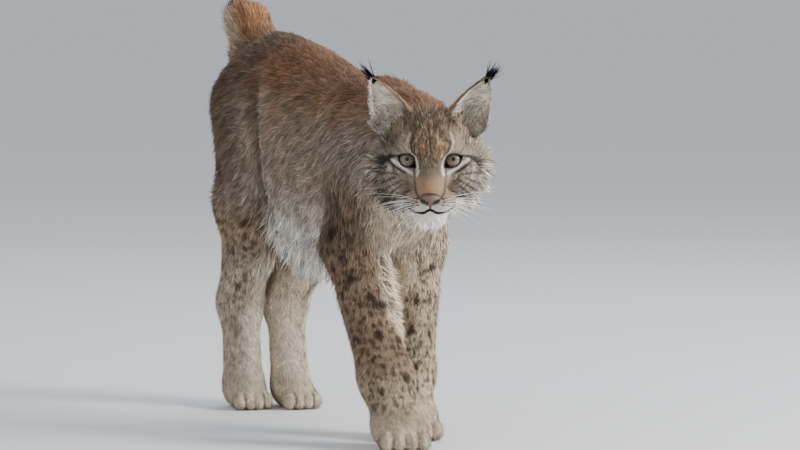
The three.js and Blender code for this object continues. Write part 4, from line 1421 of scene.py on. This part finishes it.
def make_eye(side):
    """An eyeball with its pupil, iris and dark limbus, looking at the viewer."""
    gaze = -view_direction() @ HEAD_TURN
    across = unit(np.cross(gaze, [0, 0, 1]))
    up = np.cross(across, gaze)
    count = EYE_GRID
    line = np.linspace(-1, 1, count)
    u, v = (g.ravel() for g in np.meshgrid(line, line, indexing="ij"))
    square = np.maximum(np.abs(u), np.abs(v))
    turn = np.arctan2(v, u)
    angle = (0.75 * square + 0.25 * square**3) * 120 * DEG
    away = EYE["r"] * np.sin(np.minimum(angle, 90 * DEG))
    reach = EYE["r"] + 0.8 * (1 - ramp(away, 4, 12.5))
    flat = np.cos(turn)[:, None] * across + np.sin(turn)[:, None] * up
    local = (np.sin(angle)[:, None] * flat + np.cos(angle)[:, None] * gaze) * reach[:, None]
    vertices = from_head(np.array(mirrored(EYE["p"], side)) + local)
    a = (np.arange(count - 1)[:, None] * count + np.arange(count - 1)).ravel()
    faces = np.stack([a, a + count, a + count + 1, a + 1], 1)[:, ::-1]
    colour = eye_colour(away, turn, angle)
    normals = unit(local) @ HEAD_TURN.T
    piece = new_mesh("eye_ball_" + WORD[side], to_row(vertices), faces, normals, colour)
    dress(piece, eye_material())
    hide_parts("eye_" + WORD[side])


def eye_colour(away, turn, angle):
    """Amber grey with fine rays, a small round pupil and a dark ring outside."""
    ray = noise(np.stack([np.cos(turn) * 14, np.sin(turn) * 14, away / 5], 1), 1.0, 51)
    cloud = noise(np.stack([np.cos(turn) * 3, np.sin(turn) * 3, away / 2.5], 1), 1.0, 53)
    c = IRIS * (0.72 + 0.5 * ray + 0.25 * (cloud - 0.5))[:, None]
    c = mix(c, IRIS_INNER, 0.6 * (1 - ramp(away, EYE["pupil"], EYE["pupil"] + 3)))
    c = mix(c, IRIS_EDGE, ramp(away, EYE["iris"] - 2.0, EYE["iris"] - 0.3))
    c = mix(c, BLACK * 0.4, ramp(away, EYE["iris"] - 0.5, EYE["iris"] + 0.8) + (angle > 90 * DEG))
    return mix(c, BLACK * 0.1, 1 - ramp(away, EYE["pupil"] - 0.3, EYE["pupil"] + 0.3))


def make_lids(side):
    """The dark bare rims of the lids, rolled round the opening and resting on the eyeball."""
    curve = closed_curve(LID_RIM, 10)
    count, around = len(curve), 12
    u, v, half = curve.T
    ball = EYE["r"] + 0.5
    away = np.hypot(u, v)
    front = np.sqrt(np.maximum(ball**2 - away**2, 9.0))
    centre = np.stack([u * side, -front, v], 1)
    out = unit(np.stack([u * side, 0 * u, v], 1))
    ahead = unit(centre)
    turn = np.arange(around) / around * 2 * math.pi
    ring = np.cos(turn)[None, :, None] * out[:, None] + 0.8 * np.sin(turn)[None, :, None] * ahead[:, None]
    p = centre[:, None] + ring * half[:, None, None]
    p += np.array(mirrored(EYE["p"], side))
    faces = grid_faces(count, around)
    last = np.arange(around) + (count - 1) * around
    first = np.arange(around)
    close = np.stack([last, np.roll(last, -1), np.roll(first, -1), first], 1)
    faces = np.concatenate([faces, close])
    if side == LEFT:
        faces = faces[:, ::-1]
    piece = new_mesh("lids_" + WORD[side], to_row(from_head(p.reshape(-1, 3))), faces)
    material = flecked_material("Lid rims", 0.38, (0.012, 0.009, 0.008), (0.03, 0.022, 0.02), 900, 0.25)
    dress(piece, material)


def nostril(side):
    return taper(((side * 6.2, -74.5, -51.5), 2.9), ((side * 14, -70, -47.0), 1.5))


def nose_field():
    """The nose leather in the head's frame: a dome with wings, nostrils and a groove."""
    dome = ellipsoid((0, -63, -44.5), (14.5, 11, 8.5))
    wings = [ellipsoid((s * 9.5, -62, -48.5), (7.6, 9.5, 7.2)) for s in (RIGHT, LEFT)]
    tip = ellipsoid((0, -66.5, -49.5), (8, 7.5, 8.5))
    whole = blend(5, dome, tip, *wings)
    for side in (RIGHT, LEFT):
        whole = carve(1.5, whole, nostril(side))
    groove = taper(((0, -76.5, -50), 1.3), ((0, -70, -60), 1.6))
    return carve(1.5, whole, groove)


def make_nose():
    field = nose_field()
    vertices, quads = surface_nets(field, (-20, -80, -62), (20, -48, -32), NOSE_CELL)
    vertices, normals = settle(field, vertices, 0.5)
    inner = np.minimum(nostril(RIGHT)(vertices), nostril(LEFT)(vertices))
    c = NOSE_SKIN * (0.8 + 0.4 * noise(vertices, 2.2, 61))[:, None]
    c = mix(c, NOSE_DARK, ramp(np.abs(vertices[:, 0]), 8, 16) * 0.5 + ramp(-vertices[:, 2], 50, 58) * 0.4)
    c = mix(c, NOSE_DARK, 0.9 * ramp(vertices[:, 2], -41, -37))
    # Painted shade inside the nostrils
    c = mix(c, BLACK * 0.4, 1 - ramp(inner, 0.1, 1.6))
    piece = new_mesh("nose_leather", to_row(from_head(vertices)), quads, normals @ HEAD_TURN.T, c)
    dress(piece, nose_material())
    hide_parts("nose")


def make_whiskers():
    """Long pale whiskers from the pads, fewer over the eyes, each a tapering tube that droops."""
    root, way, length, thick = [], [], [], []
    for side in (RIGHT, LEFT):
        for row in range(4):
            for n in range(5):
                x = 17 + 5.6 * n + 2 * (row % 2)
                z = -49 - 4.4 * row + 0.16 * (x - 15)
                root.append((side * x, 0, z))
                way.append((side * 1.0, 0.25 + 0.1 * n, -0.1 - 0.17 * row + 0.05 * n))
                length.append((42 + 11 * n) * (1 - 0.06 * row))
                thick.append(0.42)
        for n in range(3):
            root.append((side * (30 + 5 * n), 0, 17 + n))
            way.append((side * (0.15 + 0.3 * n), -0.25, 0.9))
            length.append(30 - 4 * n)
            thick.append(0.22)
    root, way = np.array(root, float), unit(np.array(way, float))
    length = np.array(length) * rng.uniform(0.85, 1.15, len(root))
    way = unit(way + rng.normal(0, 0.06, way.shape))
    root[:, 1] = front_of_face(root)
    steps, around = 9, 5
    t = np.linspace(0, 1, steps)[None, :, None]
    line = root[:, None] + way[:, None] * length[:, None, None] * t
    line = line + np.array([0, 0.10, -0.16]) * length[:, None, None] * t**2
    side_way = unit(np.cross(way, [0, 0, 1.0]))
    up_way = np.cross(side_way, way)
    turn = np.arange(around) / around * 2 * math.pi
    ring = np.cos(turn)[:, None, None] * side_way + np.sin(turn)[:, None, None] * up_way
    radius = np.array(thick)[:, None, None] * (1 - 0.85 * t)
    p = line[:, :, None] + ring.transpose(1, 0, 2)[:, None] * radius[:, :, :, None]
    per = steps * around
    faces = grid_faces(steps, around)
    faces = (faces[None] + (np.arange(len(root)) * per)[:, None, None]).reshape(-1, 4)
    row, column = np.divmod(np.arange((steps - 1) * around), around)
    u = np.stack([column, column + 1, column + 1, column], -1) / around - 0.5
    v = np.stack([row, row, row + 1, row + 1], -1) / (steps - 1) - 0.5
    patch = np.stack([2 * PATCH_HALF * u, PATCH_LONG * v], -1)
    at = unwrap(from_head(root), np.full(len(root), PARTS.index("head")))
    uv = (at[:, None, None] + patch).reshape(-1, 2)
    piece = new_mesh("whiskers", to_row(from_head(p.reshape(-1, 3))), faces, uv=uv)
    material = flecked_material("Whiskers", 0.4, (0.7, 0.67, 0.62), (0.86, 0.84, 0.8), 120, 0.0)
    dress(piece, material)


def front_of_face(q):
    """How far forward the skin is at each x and z of the face."""
    y = np.full(len(q), -110.0)
    for _ in range(60):
        p = np.stack([q[:, 0], y, q[:, 2]], 1)
        y += np.clip(skin_field(from_head(p)), 0, 6) * 0.8
    return y


# Materials


def node_material(name, roughness, specular=0.5):
    """A material, its node tree and its shader."""
    material = bpy.data.materials.new(name)
    material.use_nodes = True
    shader = material.node_tree.nodes["Principled BSDF"]
    shader.inputs["Roughness"].default_value = roughness
    shader.inputs["Specular IOR Level"].default_value = specular
    return material, material.node_tree, shader


def texture(tree, kind, scale):
    """A procedural texture laid out in the object's own frame."""
    place = tree.nodes.new("ShaderNodeTexCoord")
    node = tree.nodes.new(kind)
    node.inputs["Scale"].default_value = scale
    tree.links.new(place.outputs["Object"], node.inputs["Vector"])
    return node


def mesh_colour(tree):
    """The colour that the mesh carries at each vertex."""
    attribute = tree.nodes.new("ShaderNodeAttribute")
    attribute.attribute_name = "Coat"
    return attribute.outputs["Color"]


def add_bump(tree, shader, height, strength):
    relief = tree.nodes.new("ShaderNodeBump")
    relief.inputs["Strength"].default_value = strength
    relief.inputs["Distance"].default_value = 0.0006
    tree.links.new(height, relief.inputs["Height"])
    tree.links.new(relief.outputs["Normal"], shader.inputs["Normal"])


def coat_material(name, bump):
    """The mesh's own colour with a fine grain over it."""
    material, tree, shader = node_material(name, 0.78, 0.25)
    grain = texture(tree, "ShaderNodeTexNoise", 420)
    grain.inputs["Detail"].default_value = 3
    spread = tree.nodes.new("ShaderNodeMapRange")
    for socket, value in (("From Min", 0.3), ("From Max", 0.7), ("To Min", 0.82), ("To Max", 1.18)):
        spread.inputs[socket].default_value = value
    tree.links.new(grain.outputs["Fac"], spread.inputs["Value"])
    product = tree.nodes.new("ShaderNodeVectorMath")
    product.operation = "SCALE"
    tree.links.new(mesh_colour(tree), product.inputs[0])
    tree.links.new(spread.outputs["Result"], product.inputs["Scale"])
    tree.links.new(product.outputs["Vector"], shader.inputs["Base Color"])
    if bump:
        add_bump(tree, shader, grain.outputs["Fac"], bump)
    return material


def flecked_material(name, roughness, low, high, scale, bump):
    """A base colour that varies between two colours, with relief from the same noise."""
    material, tree, shader = node_material(name, roughness)
    grain = texture(tree, "ShaderNodeTexNoise", scale)
    colours = tree.nodes.new("ShaderNodeValToRGB")
    for element, position, colour in zip(colours.color_ramp.elements, (0.35, 0.65), (low, high)):
        element.position = position
        element.color = (*colour, 1)
    tree.links.new(grain.outputs["Fac"], colours.inputs["Fac"])
    tree.links.new(colours.outputs["Color"], shader.inputs["Base Color"])
    if bump:
        add_bump(tree, shader, grain.outputs["Fac"], bump)
    return material


def eye_material():
    material, tree, shader = node_material("Eye", 0.35, 0.2)
    shader.inputs["Coat Weight"].default_value = 0.5
    shader.inputs["Coat Roughness"].default_value = 0.02
    tree.links.new(mesh_colour(tree), shader.inputs["Base Color"])
    return material


def nose_material():
    material, tree, shader = node_material("Nose leather", 0.42, 0.45)
    pores = texture(tree, "ShaderNodeTexVoronoi", 700)
    tree.links.new(mesh_colour(tree), shader.inputs["Base Color"])
    add_bump(tree, shader, pores.outputs["Distance"], 0.5)
    return material


# The stage, in metres: each light's place, width and power, and where all of them point
LIGHTS = (
    ("key", (3.0, -3.0, 1.9), 1.6, 295),
    ("fill", (-3.4, -2.2, 1.6), 3.0, 30),
    ("top", (1.6, 1.6, 3.6), 3.0, 60),
)
LIT_PLACE = (0, 0, 0.35)
FLOOR_HALF = 400.0
FLOOR_COLOUR = (0.8, 0.81, 0.82, 1)
SKY_COLOUR = (0.82, 0.85, 0.9, 1)
SKY_STRENGTH = 0.76
VIEW_REACH = 1000


def view_direction():
    """The way the camera looks, in the animal's frame."""
    flat = math.cos(CAMERA_PITCH)
    return np.array([math.sin(CAMERA_YAW) * flat, math.cos(CAMERA_YAW) * flat, -math.sin(CAMERA_PITCH)])


def make_stage():
    """A plain pale floor, an even sky and soft lights, the key from the animal's left."""
    corners = np.array([[-1, -1, 0], [1, -1, 0], [1, 1, 0], [-1, 1, 0]])
    floor = new_mesh("floor", FLOOR_HALF * corners, np.array([[0, 1, 2, 3]]))
    material, _, shader = node_material("Floor", 0.9)
    shader.inputs["Base Color"].default_value = FLOOR_COLOUR
    floor.data.materials.append(material)
    world = bpy.data.worlds.new("World")
    world.use_nodes = True
    world.node_tree.nodes["Background"].inputs["Color"].default_value = SKY_COLOUR
    world.node_tree.nodes["Background"].inputs["Strength"].default_value = SKY_STRENGTH
    bpy.context.scene.world = world
    for name, at, size, power in LIGHTS:
        light = bpy.data.lights.new(name, "AREA")
        light.size = size
        light.energy = power
        lamp = bpy.data.objects.new(name, light)
        lamp.location = at
        lamp.rotation_euler = (Vector(LIT_PLACE) - Vector(at)).to_track_quat("-Z", "Y").to_euler()
        bpy.context.scene.collection.objects.link(lamp)


def make_camera():
    camera = bpy.data.cameras.new("camera")
    camera.lens, camera.sensor_width = LENS, SENSOR
    camera.clip_end = VIEW_REACH
    holder = bpy.data.objects.new("camera", camera)
    holder.location = to_row(CAMERA_AT)
    holder.rotation_euler = Vector(view_direction()).to_track_quat("-Z", "Y").to_euler()
    bpy.context.scene.collection.objects.link(holder)
    bpy.context.scene.camera = holder


make_camera()
make_stage()
skin = make_skin()
fur = coat_material("Coat", 0)
make_coat(*skin, fur)
make_fringes(*skin, fur)
for side in (RIGHT, LEFT):
    make_ear_coat(side, fur)
    make_eye(side)
    make_lids(side)
make_nose()
make_whiskers()
